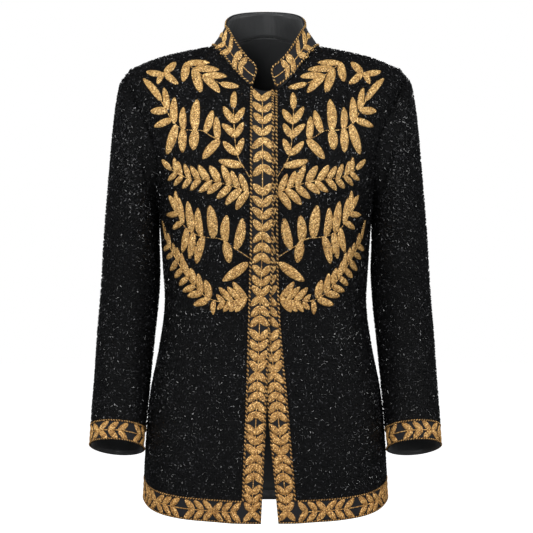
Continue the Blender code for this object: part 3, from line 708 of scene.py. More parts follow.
def armhole_angle(up, reach):
    """How far round from the side seam the armhole reaches at these lengths up."""
    share = np.clip((up - UNDERARM) / (SHOULDER - UNDERARM), 0, 1)
    return reach * np.sin(np.pi * share) ** ARMHOLE_ROUNDNESS


def sleeve_skin(turn, down):
    front = turn % 360 < 180
    up = armhole_up(turn)
    swing = armhole_angle(up, np.where(front, ARMHOLE_FRONT, ARMHOLE_BACK))
    head_up = up - SLEEVE_HEAD_DROP * np.cos(np.radians(turn))
    stations = [body_points(90 - np.where(front, 1, -1) * swing, head_up)]
    cosine, sine = np.cos(np.radians(turn))[:, None], np.sin(np.radians(turn))[:, None]
    for ring in SLEEVE:
        outer = np.array([ring.outer_x, 0, ring.outer_z])
        inner = np.array([ring.inner_x, 0, ring.inner_z])
        centre, across = (outer + inner) / 2 + (0, ring.mid_y, 0), (outer - inner) / 2
        lean = np.radians(ring.lean)
        forward = np.array([0, -np.cos(lean), np.sin(lean)]) * ring.half_depth
        stations.append(centre + across * cosine + forward * sine)
    return curve(np.arange(len(stations)), np.array(stations), down)


def sleeve_points(turn, down, out=0.0):
    """Points on the left sleeve, moved out."""
    fade = smooth_step(*SLEEVE_CREASES_FROM, down)
    depth = crease_depth(SLEEVE_CREASES, turn, down * CUFF_MM_PER_DOWN, SLEEVE_MM_PER_DEGREE) * fade
    past_seam = down / SLEEVE_ROLL_DOWN
    top = smooth_step(*SLEEVE_ROLL_TOP, np.cos(np.radians(turn)))
    roll = SLEEVE_HEAD_ROLL * top * past_seam * np.exp(1 - past_seam)
    return off_skin(sleeve_skin, turn, down, depth + roll + out, SLEEVE_STEPS, (0, SLEEVE_END))


def collar_skin(angle, share):
    low, high = np.array(COLLAR_SEAM, float)[:, None], np.array(COLLAR_TOP, float)[:, None]
    section = Section(*(low + (high - low) * share))
    back_ease = COLLAR_SEAM.ease + (COLLAR_BACK_EASE - COLLAR_SEAM.ease) * share
    ease = np.where(np.cos(np.radians(angle)) < 0, back_ease, section.ease)
    return section_points(section._replace(ease=ease), angle)


def collar_points(angle, share, out=0.0):
    """Points on the stand collar, from the neck seam to the free edge, moved out."""
    return off_skin(collar_skin, angle, share, out, COLLAR_STEPS)


def collar_end_angle(share, side):
    """Where the collar's front end lies, its top corner rounded."""
    end = COLLAR_SEAM_END + (COLLAR_TOP_END - COLLAR_SEAM_END) * share
    bend = np.clip((share - COLLAR_CORNER_FROM) / (1 - COLLAR_CORNER_FROM), 0, 1)
    end = end + COLLAR_CORNER * (1 - np.sqrt(1 - bend**2))
    return np.degrees(np.arctan2(side * end + COLLAR_CENTRE_X, -COLLAR_SEAM.front_y))


def front_place(x, z):
    """The places on the front whose skin lies at these x and z, found by Newton's method."""
    angle, up = np.degrees(np.arctan2(x, -BODY[0].front_y)), z - BODY[0].side_z
    for _ in range(PLACE_ROUNDS):
        here = body_skin(angle, up)
        turned = (body_skin(angle + PLACE_STEP, up) - here) / PLACE_STEP
        raised = body_skin(angle, up + 1) - here
        miss_x, miss_z = x - here[:, 0], z - here[:, 2]
        scale = turned[:, 0] * raised[:, 2] - raised[:, 0] * turned[:, 2]
        turn = (miss_x * raised[:, 2] - raised[:, 0] * miss_z) / scale
        rise = (turned[:, 0] * miss_z - miss_x * turned[:, 2]) / scale
        angle = angle + np.clip(turn, -PLACE_TURN, PLACE_TURN)
        up = np.clip(up + np.clip(rise, -PLACE_RISE, PLACE_RISE), *PLACE_ENDS)
    return angle, up


def lengths_along(points):
    """The distance along a line of points to each of them."""
    return np.concatenate([[0.0], np.cumsum(np.linalg.norm(np.diff(points, axis=0), axis=1))])


def ground_of_front(side):
    """Lays flat points, a distance out from the centre line and a height, on a front."""

    def place(outward, height, out):
        return FRONT_POINTS[side](*front_place(SPRAY_CENTRE_X + side * outward, height), out)

    return place


def ground_of_band(side):
    """Lays points on a front border: a drop below the neck edge, and a distance out from its middle."""
    ups = np.linspace(NECK, HEM, BAND_STEPS)
    heights = body_skin(angle_in(side, ups, front_border(ups) / 2), ups)[:, 2]

    def place(along, across, out):
        up = np.interp(along, heights[0] - heights, ups)
        return FRONT_POINTS[side](angle_in(side, up, front_border(up) / 2 + across), up, out)

    return place


def ground_of_hem(start, end, points_at):
    """Lays points along the hem border and up from its middle, and gives its length."""
    angles = np.linspace(start, end, HEM_STEPS)
    lengths = lengths_along(body_skin(angles, np.full_like(angles, BORDER_WIDTH / 2)))

    def place(along, across, out):
        return points_at(np.interp(along, lengths, angles), BORDER_WIDTH / 2 + across, out)

    return place, lengths[-1]


def ground_of_cuff():
    """Lays points round the middle of the left cuff border and up from it, and gives its length."""
    radius = (SLEEVE[-1].outer_x - SLEEVE[-1].inner_x) / 2
    middle = SLEEVE_END - BORDER_WIDTH / 2 / CUFF_MM_PER_DOWN

    def place(along, across, out):
        turn = CUFF_START + np.degrees(along / radius)
        return sleeve_points(turn, middle - across / CUFF_MM_PER_DOWN, out)

    return place, 2 * np.pi * radius


def ground_of_collar(side):
    """Lays points, a distance back from a front end and a height square to the edges, on the collar."""
    start = collar_end_angle(0.5, side)

    def place(back, height, out):
        share, turn = height / COLLAR_ACROSS, back / COLLAR_MM_PER_DEGREE
        slant = COLLAR_SLANT * (1 - smooth_step(*COLLAR_SLANT_ENDS, turn)) * (share - 0.5)
        return collar_points(start + side * (turn - slant), share, out)

    return place


def rotated(directions, angle):
    """Flat directions turned anticlockwise by angles in degrees."""
    c, s = np.cos(np.radians(angle)), np.sin(np.radians(angle))
    x, y = directions[..., 0], directions[..., 1]
    return np.stack([x * c - y * s, x * s + y * c], axis=-1)


def stem_at(stem, share):
    """Points of the smooth line through a stem's places."""
    places = np.array(stem, float)
    marks = lengths_along(places)
    return curve(marks, places, np.atleast_1d(share) * marks[-1])


Leaves = namedtuple("Leaves", "bases directions lengths widths")
Pair = namedtuple("Pair", "at way long")


def spray_leaves(spray):
    """The leaves of a spray: those on the two sides of its stem, and the one at its tip."""
    at, lengths, ways, widths = (
        np.array([*over, *under, tip], float)
        for over, under, tip in zip(spray.over, spray.under, (1.0, *spray.tip))
    )
    return Leaves(stem_at(spray.stem, at), rotated(np.array([1.0, 0.0]), ways), lengths, widths)


def pairs_of(groups):
    """Every leaf pair of some groups: where it starts on the stem, its way and its length."""
    return [
        Pair(group.at + k * group.pitch, group.way, group.long)
        for group in groups
        for k in range(group.count)
    ]


def even_pairs(garland, length):
    """The leaf pairs of a border that repeats evenly along its length."""
    pairs = []
    along = garland.pitch * PAIR_FIRST
    while along < length - garland.pitch * PAIR_FIRST:
        way = -1 if len(pairs) // garland.count % 2 == 0 else 1
        if pairs and way < pairs[-1].way:
            along += TIPS_PART
        pairs.append(Pair(along - way * PAIR_START, way, garland.long))
        along += garland.pitch
    return pairs


def pair_leaves(pairs, slim):
    """The leaves of a border's pairs, either side of its stem."""
    at, ways, lengths = (np.repeat(np.array(column, float), 2) for column in zip(*pairs))
    sides = np.tile((1.0, -1.0), len(pairs))
    directions = rotated(np.stack([ways, np.zeros_like(ways)], axis=1), ways * sides * PAIR_TURN)
    return Leaves(np.stack([at, sides * PAIR_OFF_STEM], axis=1), directions, lengths, lengths * slim)


def in_metres(points, mirrored):
    return points * MM * ((-1, 1, 1) if mirrored else (1, 1, 1))


def shape_of(build):
    """The corners and faces of one small shape, made with bmesh operators."""
    shape = bmesh.new()
    build(shape)
    shape.verts.index_update()
    corners = np.array([corner.co for corner in shape.verts])
    faces = np.array([[corner.index for corner in face.verts] for face in shape.faces])
    shape.free()
    return corners, faces


def grid_shape(columns, rows):
    """A unit grid whose corners run from 0 to 1 both ways."""
    corners, faces = shape_of(
        lambda shape: bmesh.ops.create_grid(shape, x_segments=columns, y_segments=rows, size=0.5)
    )
    return corners[:, 0] + 0.5, corners[:, 1] + 0.5, faces


def bead_shape(shape):
    """The top of a short round tube, lying along X."""
    bmesh.ops.create_cone(shape, segments=6, radius1=0.5, radius2=0.5, depth=1.0, cap_ends=False)
    for corner in shape.verts:
        corner.co = Vector((corner.co.z, corner.co.x, corner.co.y))
    under = [face for face in shape.faces if face.calc_center_median().z < BEAD_CUT]
    bmesh.ops.delete(shape, geom=under, context="FACES")
    bmesh.ops.recalc_face_normals(shape, faces=shape.faces)
    if sum(face.normal.z for face in shape.faces) < 0:
        bmesh.ops.reverse_faces(shape, faces=shape.faces)


def twist_shape(shape):
    """One twist of the cord: a small round lump."""
    bmesh.ops.create_icosphere(shape, subdivisions=1, radius=0.5)


def copies_of(corners, centres, along, across, outward):
    """A shape's corners at many centres, each copy turned to its own three directions."""
    parts = zip((along, across, outward), corners.T)
    return centres[:, None] + sum(way[:, None] * part[None, :, None] for way, part in parts)


Part = namedtuple("Part", "corners faces tints")


def finish_mesh(shape, mesh, closed=False, mirrored=False):
    """Closes a shape's seams, turns its faces out again where it was mirrored, and keeps it as a mesh."""
    if closed:
        bmesh.ops.remove_doubles(shape, verts=shape.verts, dist=WELD)
    if mirrored:
        bmesh.ops.reverse_faces(shape, faces=shape.faces)
    shape.to_mesh(mesh)
    shape.free()


def add_object(name, mesh, materials, smooth=True):
    for material in materials:
        mesh.materials.append(material)
    if smooth:
        mesh.shade_smooth()
    piece = bpy.data.objects.new(name, mesh)
    bpy.context.scene.collection.objects.link(piece)
    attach(piece, "root")
    return piece


def make_piece(name, parts, material, mirrored=False, smooth=True):
    """One object made of copies of small shapes. tints has a number for each copy or each corner.

    A smooth piece has its seams closed as well.
    """
    corners, faces, tints, start = [], [], [], 0
    for part in parts:
        count, size = part.corners.shape[:2]
        corners.append(part.corners.reshape(-1, 3))
        tints.append(np.broadcast_to(part.tints.reshape(count, -1), (count, size)).ravel())
        firsts = start + size * np.arange(count)
        faces += (part.faces[None] + firsts[:, None, None]).reshape(-1, part.faces.shape[1]).tolist()
        start += count * size
    mesh = bpy.data.meshes.new(name)
    mesh.from_pydata(in_metres(np.concatenate(corners), mirrored).tolist(), [], faces)
    mesh.attributes.new("tint", "FLOAT", "POINT").data.foreach_set("value", np.concatenate(tints))
    if smooth or mirrored:
        shape = bmesh.new()
        shape.from_mesh(mesh)
        finish_mesh(shape, mesh, closed=smooth, mirrored=mirrored)
    return add_object(name, mesh, [material], smooth)


def cloth_sheet(name, columns, rows, place, thickness, materials, closed=False, mirrored=False):
    """A shell of cloth. place turns shares across and along into points and border depths."""
    shape = bmesh.new()
    bmesh.ops.create_grid(shape, x_segments=columns, y_segments=rows, size=0.5)
    flat = np.array([corner.co for corner in shape.verts]) + 0.5
    points, border = place(flat[:, 0], flat[:, 1])
    layer = shape.verts.layers.float.new("border")
    for corner, point, depth in zip(shape.verts, in_metres(points, mirrored), border):
        corner.co = point
        corner[layer] = depth
    mesh = bpy.data.meshes.new(name)
    finish_mesh(shape, mesh, closed, mirrored)
    piece = add_object(name, mesh, materials)
    wall = piece.modifiers.new("Wall", "SOLIDIFY")
    wall.thickness = thickness
    wall.offset = -1
    wall.material_offset = len(materials) - 1
    wall.material_offset_rim = 0
    return piece


def declare_cloth(cad_node, flat, area=None):
    """Hides the solid that a sheet stands for. The size it was cut to, flat and area, is not used."""
    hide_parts(cad_node)


def wire(tree, made, **sockets):
    """Sets some sockets of a shader node, or links them where a socket is given."""
    for socket, value in sockets.items():
        socket = made.inputs[socket.replace("_", " ")]
        if isinstance(value, bpy.types.NodeSocket):
            tree.links.new(value, socket)
        else:
            socket.default_value = value
    return made


def node(tree, kind, **sockets):
    return wire(tree, tree.nodes.new(kind), **sockets)


def new_material(name, **sockets):
    material = bpy.data.materials.new(name)
    material.use_nodes = True
    tree = material.node_tree
    return material, tree, wire(tree, tree.nodes["Principled BSDF"], **sockets)


def object_place(tree, stretch=(1, 1, 1)):
    """Object coordinates, stretched."""
    place = tree.nodes.new("ShaderNodeTexCoord").outputs["Object"]
    return node(tree, "ShaderNodeMapping", Vector=place, Scale=stretch).outputs["Vector"]


def attribute(tree, name):
    made = tree.nodes.new("ShaderNodeAttribute")
    made.attribute_name = name
    return made.outputs["Fac"]


def noise(tree, place, scale, detail):
    return node(tree, "ShaderNodeTexNoise", Vector=place, Scale=scale, Detail=detail).outputs["Fac"]


def share_between(tree, value, low, high):
    """0 where a value is at its low end, 1 where it is at its high end."""
    return node(tree, "ShaderNodeMapRange", Value=value, From_Min=low, From_Max=high).outputs["Result"]


def mix(tree, share, first, second, blend="MIX"):
    made = node(tree, "ShaderNodeMixRGB", Fac=share, Color1=first, Color2=second)
    made.blend_type = blend
    return made.outputs["Color"]


def ramp(tree, factor, stops):
    made = node(tree, "ShaderNodeValToRGB", Fac=factor)
    elements = made.color_ramp.elements
    for _ in stops[2:]:
        elements.new(0.5)
    for element, (position, colour) in zip(elements, stops):
        element.position = position
        element.color = (*colour, 1)
    return made.outputs["Color"]


def scaled(colour, share):
    return tuple(np.array(colour) * share)


def tones(tree, grain, colour, low, high):
    """A colour that a grain makes darker and lighter, by these shares of it."""
    return ramp(tree, grain, ((0.3, scaled(colour, low)), (0.7, scaled(colour, high))))


def bump(tree, height, strength, distance):
    return node(
        tree, "ShaderNodeBump", Strength=strength, Distance=distance, Height=height
    ).outputs["Normal"]


def beaded_cloth(title, colours):
    """Black cloth under beads, with the plain twill of the borders where the border depth says."""
    material, tree, shader = new_material(title, Roughness=0.75, Specular_IOR_Level=0.2)
    grain = noise(tree, object_place(tree), scale=900.0, detail=3.0)
    dark = tones(tree, grain, colours.beaded, 0.5, 1.6)
    twill = tones(tree, grain, colours.plain, 0.8, 1.25)
    inside = share_between(tree, attribute(tree, "border"), -0.5, 0.5)
    relief = bump(tree, grain, strength=0.5, distance=0.0004)
    wire(tree, shader, Base_Color=mix(tree, inside, dark, twill), Normal=relief)
    return material


def plain_cloth(title, colours):
    """Matt black twill, its ribs running on the slant."""
    material, tree, shader = new_material(title, Roughness=0.8, Specular_IOR_Level=0.2, Sheen_Weight=0.05)
    slant = node(tree, "ShaderNodeMapping", Vector=object_place(tree), Rotation=(0.0, 0.8, 0.0))
    ribs = node(
        tree, "ShaderNodeTexWave", Vector=slant.outputs["Vector"], Scale=260.0, Distortion=1.5, Detail=1.0
    )
    tone = tones(tree, noise(tree, object_place(tree), scale=500.0, detail=4.0), colours.plain, 0.8, 1.3)
    relief = bump(tree, ribs.outputs["Fac"], strength=0.35, distance=0.0003)
    wire(tree, shader, Base_Color=tone, Normal=relief)
    return material


def lining_satin(title, colours):
    """Dark satin with fine threads and soft upright wrinkles."""
    material, tree, shader = new_material(title, Roughness=0.42, Specular_IOR_Level=0.35, Sheen_Weight=0.2)
    wrinkles = noise(tree, object_place(tree, (34, 34, 6)), scale=1.0, detail=3.0)
    threads = noise(tree, object_place(tree, (2200, 2200, 60)), scale=1.0, detail=1.0)
    relief = bump(tree, wrinkles, strength=0.6, distance=0.006)
    wire(tree, shader, Base_Color=tones(tree, threads, colours.lining, 0.8, 1.2), Normal=relief)
    return material


def black_glass(title, colours):
    """Black glass beads, darker and lighter at random. A few have a greyer glass, which is partly painted
    glints.
    """
    material, tree, shader = new_material(title, Roughness=0.24)
    # The ramp's top makes a few beads greyer: random tone and partly painted glints
    stops = ((0.0, scaled(colours.bead, 0.4)), (0.75, colours.bead), (1.0, scaled(colours.bead, 6)))
    wire(tree, shader, Base_Color=ramp(tree, attribute(tree, "tint"), stops))
    return material


def gold_thread(title, colours, grain_mm):
    """Gold chips and metal thread: pale and brown grains with dark outlines, brown at a leaf's edge. The
    pale grains are partly painted glints, the brown grains and the brown leaf edge partly painted shade, and
    painted shade darkens the gold lower down.
    """
    material, tree, shader = new_material(title, Roughness=0.45, Metallic=0.2)
    gold, old_gold = colours.gold, (*colours.old_gold, 1)
    place = object_place(tree)
    grains = node(tree, "ShaderNodeTexVoronoi", Vector=place, Scale=1 / (grain_mm * MM))
    each = node(tree, "ShaderNodeSeparateColor", Color=grains.outputs["Color"]).outputs["Red"]
    # The pale grains are partly painted glints and the brown grains partly painted shadow
    brown, dull, pale = (scaled(gold, share) for share in (BROWN_AND_SHADOW_GRAIN, DULL_GRAIN, PALE_AND_GLINT_GRAIN))
    tone = ramp(tree, each, ((0.0, brown), (0.3, dull), (0.7, gold), (1.0, pale)))
    tone = mix(tree, share_between(tree, grains.outputs["Distance"], 0.45, 0.85), tone, old_gold)
    patches = noise(tree, place, scale=190.0, detail=2.0)
    tone = mix(tree, 1.0, tone, ramp(tree, patches, ((0.3, DULL_PATCH), (0.65, BRIGHT_PATCH))), "MULTIPLY")
    # Old gold where a leaf's edge mark is high: a dark rim, partly painted shade
    tone = mix(tree, share_between(tree, attribute(tree, "tint"), 0.25, 0.95), tone, old_gold)
    # Painted shade: the gold darker and warmer towards the hem
    height = node(tree, "ShaderNodeSeparateXYZ", Vector=place).outputs["Z"]
    tone = mix(tree, share_between(tree, height, *LOW_GOLD_SHADE_HEIGHTS), tone, LOW_GOLD_SHADE, "MULTIPLY")
    relief = bump(tree, grains.outputs["Distance"], strength=0.7, distance=-0.0006)
    wire(tree, shader, Base_Color=tone, Normal=relief)
    return material


def dark_core(title, colours):
    """The dark threads inside a twisted cord."""
    material, tree, shader = new_material(title, Roughness=0.7)
    grain = noise(tree, object_place(tree), scale=900.0, detail=2.0)
    wire(tree, shader, Base_Color=tones(tree, grain, colours.old_gold, 0.15, 0.4))
    return material


FINISHES = {
    "beaded": ("Beaded black cloth", beaded_cloth),
    "plain": ("Plain black twill", plain_cloth),
    "lining": ("Grey satin lining", lining_satin),
    "glass": ("Black glass beads", black_glass),
    "leaf": ("Gold leaf", gold_thread, LEAF_GRAIN),
    "cord": ("Gold cord", gold_thread, CORD_GRAIN),
    "core": ("Dark cord core", dark_core),
}


def finish_of(context, name):
    """A finish, made once and shared by the pieces that have it."""
    title, maker, *sizes = FINISHES[name]
    return bpy.data.materials.get(title) or maker(title, context.scene.jacket_colours, *sizes)


def leaf_outline(share):
    """How wide a leaf is at shares of its length, 1 at its widest."""
    return LEAF_FULL * share**LEAF_BASE_POWER * (1 - share) ** LEAF_TIP_POWER


def leaf_part(place, leaves, dome, turned, seed):
    """Padded leaves laid on the cloth: domes on a pointed outline, marked along their edges for a dark rim
    that is partly painted shade.
    """
    share, side, faces = grid_shape(LEAF_CELLS, LEAF_ROUND_CELLS)
    along = (1 - np.cos(np.pi * share)) / 2
    across = np.sin(np.pi * (side - 0.5))
    outline = leaf_outline(along)
    chance = np.random.default_rng(seed)
    count = len(leaves.bases)
    lengths = leaves.lengths * (1 + LEAF_SIZE_JITTER * chance.uniform(-1, 1, count)) + LEAF_BACK
    directions = rotated(leaves.directions, LEAF_TURN_JITTER * chance.uniform(-1, 1, count))
    bends = LEAF_BEND * chance.uniform(-1, 1, count)
    sideways = rotated(directions, np.full(count, 90.0))
    away = across * outline * leaves.widths[:, None] / 2 + np.sin(np.pi * along) * (bends * lengths)[:, None]
    flat = (
        leaves.bases[:, None]
        + directions[:, None] * (along * lengths[:, None] - LEAF_BACK)[..., None]
        + sideways[:, None] * away[..., None]
    )
    small = np.minimum(leaves.widths / LEAF_FULL_WIDTH, 1)[:, None]
    out = dome * small * outline**LEAF_DOME_SHARE * np.sqrt(np.maximum(1 - across**2, 0)) - LEAF_SINK
    points = place(flat[..., 0].ravel(), flat[..., 1].ravel(), out.ravel()).reshape(count, -1, 3)
    # The edge mark gives each leaf a dark rim: partly a dark outline, partly painted shade at the padded
    # edge
    edge = (np.abs(across) > LEAF_EDGE) | (along > LEAF_EDGE)
    return Part(points, faces[:, ::-1] if turned else faces, np.tile(edge.astype(float), (count, 1)))


def tube_part(centres, normals, radius, sides):
    """A thin round tube along a line of points."""
    share, turn, faces = grid_shape(len(centres) - 1, sides)
    ways = normalised(np.gradient(centres, axis=0))
    outward = normalised(normals - ways * (normals * ways).sum(1, keepdims=True))
    across = np.cross(outward, ways)
    at = np.rint(share * (len(centres) - 1)).astype(int)
    angle = (2 * np.pi * turn)[:, None]
    points = centres[at] + radius * (np.cos(angle) * outward[at] + np.sin(angle) * across[at])
    return Part(points[None], faces, np.zeros(1))


def line_on(place, along, across, out):
    """A line of points laid on a ground, with the ground's normals there."""
    along, across = np.broadcast_arrays(np.asarray(along, float), np.asarray(across, float))
    low = place(along, across, np.full(len(along), out))
    high = place(along, across, np.full(len(along), out + 1.0))
    return low, normalised(high - low)


def make_leaves(context, cad_node, place, leaves, stem, turned, seed, mirrored=False):
    """The leaves of a spray or a border and their thin stem, as one piece."""
    dome = context.scene.jacket_sizes.leaf_dome / MM
    parts = [
        leaf_part(place, leaves, dome, turned, seed),
        tube_part(*line_on(place, *stem, STEM_LIFT), STEM_RADIUS, STEM_SIDES),
    ]
    piece = make_piece(f"{cad_node}_leaves", parts, finish_of(context, "leaf"), mirrored)
    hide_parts(cad_node)


def cord_parts(centres, normals, share, sizes):
    """A twisted cord along a line: slanted gold twists, and the dark core that shows between them.

    share is how long its twists are, beside those of the front edges.
    """
    width, pitch = (1 + share) / 2 * sizes.cord_width / MM, share * sizes.cord_pitch / MM
    lengths = lengths_along(centres)
    count = max(int(round(lengths[-1] / pitch)), 2)
    at = (np.arange(count) + 0.5) / count * lengths[-1]
    ways = normalised(np.gradient(centres, axis=0))
    middles, outward, along = (
        np.stack([np.interp(at, lengths, values[:, k]) for k in range(3)], axis=1)
        for values in (centres, normals, ways)
    )
    along = normalised(along)
    outward = normalised(outward - along * (outward * along).sum(1, keepdims=True))
    across = np.cross(outward, along)
    slant = np.radians(CORD_SLANT)
    turned = along * np.cos(slant) + across * np.sin(slant)
    beside = across * np.cos(slant) - along * np.sin(slant)
    corners, faces = shape_of(twist_shape)
    corners = corners * (pitch, width * TWIST_WIDTH, width * TWIST_HEIGHT)
    twists = Part(copies_of(corners, middles, turned, beside, outward), faces, np.zeros(count))
    return twists, tube_part(centres, normals, width * CORE_RADIUS, CORE_SIDES)


def make_cord(context, name, lines, mirrored=False):
    """A run of twisted cord as two pieces: its gold twists and its core."""
    sizes = context.scene.jacket_sizes
    twists, cores = zip(*(cord_parts(*line, sizes) for line in lines))
    for ending, parts, finish in (("twists", twists, "cord"), ("core", cores, "core")):
        piece = make_piece(f"{name}_{ending}", parts, finish_of(context, finish), mirrored)


def cord_line(place, along, across, share):
    return *line_on(place, along, across, CORD_LIFT), share


def front_cord_lines(side):
    """The outer and inner lines of a front's cord, each down the front edge and then along the hem."""
    for depth, inner in ((CORD_INSET, False), (BORDER_WIDTH, True)):
        ups = np.linspace(NECK - 1, depth, FRONT_CORD_STEPS)
        edge, corner = (
            angle_in(side, up, front_border(up) if inner else depth) for up in (ups, np.array([HEM]))
        )
        angles = np.linspace(corner[0], side * 90, FRONT_HEM_STEPS)
        yield cord_line(FRONT_POINTS[side], edge, ups, 1.0)
        yield cord_line(FRONT_POINTS[side], angles, depth, HEM_CORD)


def collar_cord_line():
    """The line of the collar's cord: along the seam, up one end, along the top and down the other."""
    rise = np.linspace(*COLLAR_CORD_RISE, COLLAR_END_STEPS)
    low = collar_end_angle(rise, 1) + COLLAR_CORD_IN
    high = collar_end_angle(rise, -1) + (360 - COLLAR_CORD_IN)
    seam = np.linspace(high[0], low[0], COLLAR_LONG_STEPS)
    top = np.linspace(low[-1], high[-1], COLLAR_LONG_STEPS)
    angles = np.concatenate([seam, low[1:], top[1:], high[::-1][1:]])
    shares = np.concatenate([
        np.full(len(seam), rise[0]), rise[1:], np.full(len(top) - 1, rise[-1]), rise[::-1][1:]
    ])
    return cord_line(collar_points, angles, shares, COLLAR_CORD)


def clear_of_leaves(x, z, leaves):
    """Which flat places lie under no leaf."""
    clear = np.ones(len(x), bool)
    for base, way, length, width in zip(*leaves):
        along = (x - base[0]) * way[0] + (z - base[1]) * way[1]
        across = -(x - base[0]) * way[1] + (z - base[1]) * way[0]
        share = np.clip(along / length, LEAF_END, 1 - LEAF_END)
        half = leaf_outline(share) * width / 2 + LEAF_MARGIN
        clear &= (along < -LEAF_MARGIN) | (along > length + LEAF_MARGIN) | (np.abs(across) > half)
    return clear


def bead_rows(place, rows, spacing, chance):
    """Places for beads over a sheet: rows of them, evenly spaced, each nudged at random.

    place turns shares across and along into points.
    """
    places = []
    shares = np.linspace(0, 1, BEAD_ROW_STEPS)
    for row in range(rows):
        v = np.full(BEAD_ROW_STEPS, (row + 0.5) / rows)
        points = place(shares, v)
        step = np.linalg.norm(place(shares, v + 0.5 / rows) - place(shares, v - 0.5 / rows), axis=1)
        lengths = lengths_along(points)
        count = int(lengths[-1] / spacing)
        if count < 1:
            continue
        nudge = chance.uniform(-BEAD_NUDGE, BEAD_NUDGE, count)
        at = (np.arange(count) + 0.5 + nudge) / count * lengths[-1]
        u = np.interp(at, lengths, shares)
        kept = chance.uniform(0, 1, count) < np.interp(at, lengths, step) / spacing
        nudge = chance.uniform(-BEAD_NUDGE, BEAD_NUDGE, count) / rows
        places.append(np.stack([u, v[0] + nudge], axis=1)[kept])
    return np.concatenate(places).T


def make_beads(context, name, points_at, across, along, sheet_rows, clear, mirrored=False):
    """Glass beads over a sheet, each lying its own way.

    across and along turn shares of the sheet into the places that points_at reads.
    """
    sizes = context.scene.jacket_sizes
    spacing, length, width = (
        size / MM for size in (sizes.bead_spacing, sizes.bead_length, sizes.bead_width)
    )
    chance = np.random.default_rng(BEAD_SEEDS[name])

    def place(u, v):
        b = along(v)
        return points_at(across(u, b), b, np.zeros_like(u))

    u, v = bead_rows(place, sheet_rows, spacing, chance)
    b = along(v)
    a = across(u, b)
    low = points_at(a, b, np.zeros_like(a))
    outward = normalised(points_at(a, b, np.ones_like(a)) - low)
    kept = clear(a, b, low)
    low, outward = low[kept], outward[kept]
    count = len(low)
    start = normalised(np.cross(outward, chance.normal(size=(count, 3))))
    beside = np.cross(outward, start)
    tilt = chance.uniform(-BEAD_TILT, BEAD_TILT, count)[:, None]
    roll = np.radians(chance.uniform(-BEAD_ROLL, BEAD_ROLL, count))[:, None]
    top = outward * np.cos(roll) + beside * np.sin(roll)
    flank = beside * np.cos(roll) - outward * np.sin(roll)
    corners, faces = shape_of(bead_shape)
    scale = chance.uniform(*BEAD_SCALE, count)[:, None, None]
    centres = low + outward * (width * BEAD_SEAT + chance.uniform(0, BEAD_LIFT, count)[:, None])
    tipped = normalised(start + outward * tilt)
    copies = copies_of(corners * (length, width, width), np.zeros_like(centres), tipped, flank, top)
    part = Part(centres[:, None] + copies * scale, faces, chance.uniform(0, 1, count))
    piece = make_piece(f"{name}_beads", [part], finish_of(context, "glass"), mirrored, smooth=False)


def body_up(v):
    """Lengths up the body, with close rows round the armhole's ends."""
    ups = np.concatenate([
        np.linspace(HEM, UNDERARM, SKIRT_ROWS + 1),
        armhole_up(np.linspace(180, 0, ARMHOLE_ROWS + 1))[1:],
        np.linspace(SHOULDER, NECK, YOKE_ROWS + 1)[1:],
    ])
    return np.interp(v, np.linspace(0, 1, len(ups)), ups)


def across_front(side):
    """Turns shares of a front's width into angles, from its edge to its seam or the other way."""

    def across(u, up):
        edge = angle_in(side, up, 0.0)
        seam = side * (90 - armhole_angle(up, ARMHOLE_FRONT))
        low, high = (edge, seam) if side > 0 else (seam, edge)
        return low + (high - low) * u

    return across


def across_back(u, up):
    start = 90 + armhole_angle(up, ARMHOLE_BACK)
    return start + (360 - 2 * start) * u


def across_collar(u, share):
    start, end = collar_end_angle(share, 1), collar_end_angle(share, -1) + 360
    return start + (end - start) * u


def front_sheet(side):
    """Turns shares of a front into its points and how far each lies inside its borders."""

    def place(u, v):
        up = body_up(v)
        points = FRONT_POINTS[side](across_front(side)(u, up), up)
        inward = side * (points[:, 0] - edge_x(side, up))
        return points, np.maximum(front_border(up) - inward, BORDER_WIDTH - up)

    return place


def back_sheet(u, v):
    up = body_up(v)
    return body_points(across_back(u, up), up), BORDER_WIDTH - up


def sleeve_sheet(u, v):
    down = v * SLEEVE_END
    return sleeve_points(360 * u, down), BORDER_WIDTH - (SLEEVE_END - down) * CUFF_MM_PER_DOWN


def collar_sheet(u, v):
    return collar_points(across_collar(u, v), v), np.zeros_like(v)


def spread(share, low, high):
    return low + share * (high - low)


class JACKET_OT_cloth(bpy.types.Operator):
    """Make the back, the fronts, the sleeves and the collar as shells of cloth"""

    bl_idname = "jacket.cloth"
    bl_label = "Cloth"

    def execute(self, context):
        wall = context.scene.jacket_sizes.cloth
        finishes = [finish_of(context, "beaded"), finish_of(context, "lining")]
        rows = SKIRT_ROWS + ARMHOLE_ROWS + YOKE_ROWS
        piece = cloth_sheet("back_cloth", BACK_COLUMNS, rows, back_sheet, wall, finishes)
        declare_cloth("back", flat=(0.56, 0.82), area=0.36)
        for side, name in SIDES:
            name = f"front_{name}"
            piece = cloth_sheet(f"{name}_cloth", FRONT_COLUMNS, rows, front_sheet(side), wall, finishes)
            declare_cloth(name, flat=(0.30, 0.78), area=0.19)
        for side, name in SIDES:
            name = f"sleeve_{name}"
            piece = cloth_sheet(
                f"{name}_cloth", SLEEVE_COLUMNS, SLEEVE_ROWS, sleeve_sheet, wall, finishes,
                closed=True, mirrored=side < 0,
            )
            declare_cloth(name, flat=(0.42, 0.64), area=0.2)
        piece = cloth_sheet(
            "collar_cloth", COLLAR_COLUMNS, COLLAR_ROWS, collar_sheet, COLLAR_THICKNESS * MM,
            [finish_of(context, "plain")],
        )
        declare_cloth("collar", flat=(0.46, 0.045))
        return {"FINISHED"}


